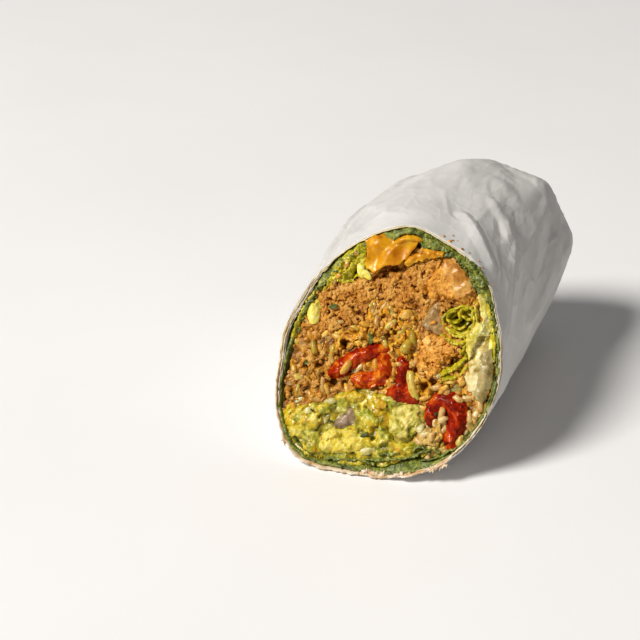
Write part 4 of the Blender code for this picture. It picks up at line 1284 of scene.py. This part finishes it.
def make_camera():
    """The photograph's view: fitted to the outline of the wrap and of its cut."""
    lens = bpy.data.cameras.new("camera")
    lens.lens = 94.3
    lens.sensor_width = 36
    lens.clip_start = 0.01
    made = add_object("camera", lens)
    made.location = (0.1282, -0.5056, 0.3012)
    made.rotation_euler = (math.radians(90 - 25.66), 0, math.radians(16.9))
    bpy.context.scene.camera = made


def make_light():
    """The one soft lamp: high up, to the left and in front."""
    lamp = bpy.data.lights.new("key", "AREA")
    lamp.shape = "DISK"
    lamp.size = 1.4
    lamp.energy = 190
    lamp.color = (1, 0.985, 0.95)
    made = add_object("key", lamp)
    made.location = (-2, -1.83, 2.97)
    aim = Vector((0, 0.03, 0.03)) - made.location
    made.rotation_euler = aim.to_track_quat("-Z", "Y").to_euler()


def make_studio():
    scene = bpy.context.scene
    scene.view_settings.view_transform = "Standard"
    scene.world = bpy.data.worlds.new("studio")
    scene.world.use_nodes = True
    sky = scene.world.node_tree.nodes["Background"].inputs
    sky["Color"].default_value = (1, 0.99, 0.98, 1)
    sky["Strength"].default_value = 0.17
    make_light()
    data = bmesh.new()
    bmesh.ops.create_grid(data, x_segments=40, y_segments=40, size=4)
    mesh = written(data, bpy.data.meshes.new("floor"))
    mesh.materials.append(floor_look())
    floor = add_object("floor", mesh)
    floor.location.z = -0.0002


# ---- all of it



def make_fillings():
    """Dresses every filling, in rows of what dress takes, and returns the ground they make."""
    # Brighter copy of the meat look: paler meat, and partly painted light of the cut's lit right side.
    chunk = meat_look("turkey_chunk_look", 1.18)
    pale_rice = rice_core_look("pale_rice_core_look", (168, 130, 44), (202, 168, 80), (228, 206, 134),
                               deep=((108, 68, 10), (182, 136, 44)))
    dark_pepper = pepper_look("dark_pepper_look", -0.05)
    cheese = cheese_look()
    avocado = avocado_look("avocado_look", (186, 164, 34), (216, 194, 66), (236, 218, 122))
    lettuce = leaf_look("lettuce_look", (118, 122, 2), (188, 174, 18), (232, 218, 74))
    return Ground([dress(*row) for row in (
        ("ground_turkey", meat_look("turkey_look"), "turkey", crumbly, FINER, 0.2, 1.6, 0, 0.3),
        ("turkey_chunk_upper", chunk, "turkey", chunky, FINER, 0.7, 1.6, 0, 0.3),
        ("turkey_chunk_lower", chunk, "turkey", finely_crumbly, FINER, 0.7, 1.6, 0, 0.3),
        ("guacamole", guacamole_look(), "guacamole", mashed, FINE, 0.1, 1.6, 0, 0.4),
        ("avocado_piece_left", avocado, "avocado", soft, FINE, 1.2, 2.2, 0, 1.2),
        ("avocado_piece_lower", avocado, "avocado", mashed, FINE, 0.4, 1.6, 0.3, 0.6),
        ("avocado_lump", avocado_look("avocado_lump_look", (148, 142, 30), (204, 188, 84),
                                      (230, 214, 136)), "avocado", mashed, FINE, 0.5, 1.6, 0.2, 0.6),
        ("cheese_sheet", cheese, "cheese", draped, FINER, 0.5, 1.6, -0.6, 0.4),
        ("cheese_strip", cheese, "cheese", draped, FINER, 0.6, 1.6, -0.6, 0.3),
        ("lettuce_upper", lettuce, "lettuce", leafy, FINE, 0.5, 1.6, 0.7, 0.9),
        ("lettuce_curl", lettuce, "lettuce", soft, FINE, 0.3, 1.6, -0.8, 0),
        ("lettuce_leaf", lettuce, "lettuce", leafy, FINE, 0.5, 1.6, 0, 0.2),
        ("lettuce_band", smooth_look("lettuce_band_look", (172, 158, 22), (226, 206, 76),
                                     (246, 230, 156)), "lettuce", ribbed, FINE, 0.5, 1.6, 0, 0.8),
        ("lettuce_rib", smooth_look("lettuce_rib_look", (154, 132, 44), (200, 176, 94),
                                    (236, 222, 168)), "lettuce_rib", ribbed, FINE, 0.9, 1.6, 0.5, 0.8),
        ("pepper_long", pepper_look("pepper_look"), "pepper", skinned, FINER, 1.1, 1.9, 1, 0.9),
        ("pepper_short", pepper_look("orange_pepper_look", 0.1), "pepper", skinned, FINER, 1.1, 1.9,
         1, 0.9),
        ("pepper_right", dark_pepper, "pepper", skinned, FINER, 1.1, 1.9, 1, 1.3),
        ("pepper_hook", dark_pepper, "pepper", skinned, FINER, 1, 2.2, 0.8, 1.3),
        ("onion_piece", smooth_look("onion_look", (126, 92, 46), (160, 124, 72), (190, 152, 98)),
         "onion", soft, FINE, 0.5, 1.6, 0, 0.2),
        ("red_onion_piece", smooth_look("red_onion_look", (104, 86, 62), (162, 134, 104),
                                        (204, 176, 144)), "red_onion", soft, FINE, 0.6, 1.6, 0, 0.2),
        ("rice_middle", rice_core_look("rice_core_look", (182, 112, 12), (222, 160, 28),
                                       (240, 200, 80)), "rice", grainy, FINE, 0.2, 1.6, 0, 0.3, 1),
        # Painted shade: a darker copy of the rice core look for the shaded left of the cut.
        ("rice_left", rice_core_look("shaded_rice_core_look", (140, 88, 18), (190, 134, 42),
                                     (220, 178, 88)), "rice", grainy, FINE, 0.2, 1.6, 0, 0.3, 1),
        ("rice_right", pale_rice, "rice", grainy, FINE, 0.2, 1.6, 0, 0.3, 1),
        ("rice_edge", pale_rice, "rice", grainy, FINE, 0.2, 1.6, 0, 0.3, 1))])


# Grains, herbs and small pieces that show in particular places: u, v, length, width in mm, turn in degrees.
PALE_GRAINS = (
    (-9, 18, 5.2, 2.4, 80), (-5, 20, 4.8, 2.2, 60), (-7, 14, 4.4, 2.2, 100), (-20, 12, 3, 1.8, 20),
    (-24, 26, 2.8, 1.6, 70), (-22.5, -10.8, 5.8, 2.4, 95), (-11, -3.5, 6.6, 2.6, 50), (3.5, 0, 2.8, 2, 0),
    (17, -2, 3, 2.5, 0), (18, -6, 3.8, 2.9, 20), (21.5, -7.5, 3.6, 2.9, 100), (25, -6.4, 4, 3.1, 60),
    (28.5, -8.6, 3.8, 3.1, 10), (31.5, -7, 3.6, 2.8, 80), (25.8, -9.2, 4, 3, 150),
    (21.5, -17, 3.7, 2.9, 40), (19, -18.5, 3.3, 2.6, 100), (22.6, -20, 3.6, 2.5, 70),
    (30.5, -15, 4.8, 2.6, 110), (30, -19, 4.4, 2.5, 70), (33.6, -10.4, 4.8, 3.2, 100),
    (32.4, -13.6, 4.6, 2.8, 70), (16.4, -22.6, 4.4, 2.8, 30), (14, -25.6, 4.6, 2.8, 150),
    (18.6, -23.4, 3.8, 2.6, 80))
GREEN_GRAINS = (
    (9, -6.5, 10.2, 4.4, -68), (5.2, 6.4, 5.6, 4.2, 70), (6.6, 10, 5, 3.4, 110), (2.6, 11.5, 5, 2.6, 60),
    (-31.5, -14, 4.8, 1.9, 85), (28.3, -23.5, 4.2, 2.8, 80), (20, -27, 5.6, 1.8, 60),
    (22, -26, 5.2, 1.7, 70), (-1.5, 13.5, 5, 2.4, 40), (-3, 7, 5.2, 2.4, 120))
SAUCY_PIECES = (
    (3, 17.4, 5, 3.9, 30), (-20, -9, 4.4, 2.6, 20), (-27, -8.4, 4.6, 2.8, 150), (-15, -3.6, 5.4, 2.8, 60),
    (-5, -1.4, 4.4, 2.4, 100), (6.5, 14, 3.6, 2.6, 90))
HERBS = (
    (-23, 17, 3.6, 2.6, 20), (-8, 8, 5.2, 3.2, 100), (-29.5, -4, 5.4, 1.8, 0), (19, -15.3, 1.8, 1.8, 0),
    (-5, -26, 3.2, 2.2, 40), (-18, -23, 2.4, 1.2, 0))
AVOCADO_LUMPS = (
    (-30.2, 14.2, 9, 4.8, 97), (-31.8, 18.6, 4.4, 3, 60), (-15.2, 31.2, 5, 2.4, 110),
    (-12.6, 29.6, 4.8, 2.2, 150))
SAUCY_BITS = (
    (-20.3, 32.6, 3.8, 2, 80), (-17.6, 36.8, 2.8, 1.6, 20), (-22.6, 28, 2.4, 1.6, 50),
    (27.2, 24.2, 3, 1.8, 60), (22.4, -3.6, 3.6, 2.4, 10), (26, -3, 3.2, 2.2, 150))
ONION_BITS = (
    (-19.4, -16.4, 4.2, 3, 30), (-20.4, -22.2, 4.6, 2.6, 60), (-26, -20.4, 3.6, 2.4, 0),
    (-33, -29.8, 3.2, 2, 20), (-3.4, -31.4, 5, 3, 20), (17.2, -2, 3, 2.6, 0), (-30.6, -17, 3.4, 1.8, 40),
    (14, -20.8, 4, 3, 70), (24.4, -5.4, 3.8, 2.8, 10))


def make_loose(ground):
    """Grains, crumbs, herbs and small pieces, in rows of what scatter and place_all take."""
    meat = meat_look("turkey_crumb_look")
    # Brighter copy of the meat look: paler meat, and partly painted light of the cut's lit right side.
    chunk = meat_look("chunk_crumb_look", 1.3)
    saucy = grain_look("saucy_grain_look", (188, 124, 20), (214, 160, 48), (230, 192, 96))
    pale = grain_look("pale_grain_look", (172, 128, 56), (204, 168, 96), (228, 204, 146))
    green = grain_look("green_grain_look", (150, 124, 18), (188, 162, 50), (212, 192, 96))
    herb = crumb_look("herb_look", (26, 40, 6), (104, 122, 60))
    flesh = avocado_look("smooth_avocado_look", (214, 192, 52), (238, 218, 92), (248, 234, 150))
    bits = smooth_look("onion_bit_look", (150, 134, 62), (190, 176, 104), (222, 214, 160))
    middle, left, right, turkey = "rice_middle", "rice_left", "rice_right", "ground_turkey"
    grain, crumb = ((3.8, 5.4), (2.3, 3)), ((0.9, 2.6), (0.9, 2.2))
    for row in (
            ("saucy_grains", saucy, "rice", GRAINS, (middle,), 18, 4.2, grain, 3, 0.72),
            ("sunk_grains", saucy, "rice", GRAINS, (left, right), 12, 5, grain, 4, 0.75),
            ("pale_grains", pale, "rice", GRAINS, (right, "rice_edge"), 10, 3.4, grain, 5, 0.68),
            ("green_grains", green, "rice", GRAINS, (middle, left), 9, 6, grain, 7, 0.65),
            ("turkey_crumbs", meat, "turkey", CRUMBS, (turkey,), 230, 1.9, crumb, 8, 0.6),
            ("chunk_crumbs", chunk, "turkey", CRUMBS, ("turkey_chunk_lower",), 30, 1.8, crumb, 9, 0.6),
            ("rice_crumbs", meat, "turkey", CRUMBS, (left, middle), 130, 2, crumb, 10, 0.5),
            ("herb_bits", herb, "turkey", FLAKES, (turkey, left, middle, "guacamole"), 16, 6,
             ((0.8, 1.8), (0.6, 1.2)), 11, 0.25, 0.7)):
        scatter(ground, *row)
    for row in (
            ("shown_pale_grains", pale, "rice", GRAINS, PALE_GRAINS, 21, 0.66),
            ("shown_green_grains", green, "rice", GRAINS, GREEN_GRAINS, 22, 0.5),
            ("shown_saucy_pieces", saucy, "rice", GRAINS, SAUCY_PIECES, 24, 0.5),
            ("smooth_avocado", flesh, "avocado", LUMPS, AVOCADO_LUMPS, 26, 0.55, 0.5),
            ("saucy_bits", saucy, "rice", CRUMBS, SAUCY_BITS, 28, 0.4),
            ("onion_bits", bits, "onion", LUMPS, ONION_BITS, 29, 0.55, 0.6),
            ("onion_crumb", chunk, "turkey", CRUMBS, ((13.5, 16, 2, 1.5, 20),), 25, 0.3),
            ("shown_herbs", herb, "turkey", FLAKES, HERBS, 23, 0.1)):
        place_all(ground, *row)


make_camera()
make_studio()
ground = make_fillings()
make_loose(ground)
make_lettuce()
make_turkey_slab()
make_cheese_folds()
make_tortilla()
make_paper()
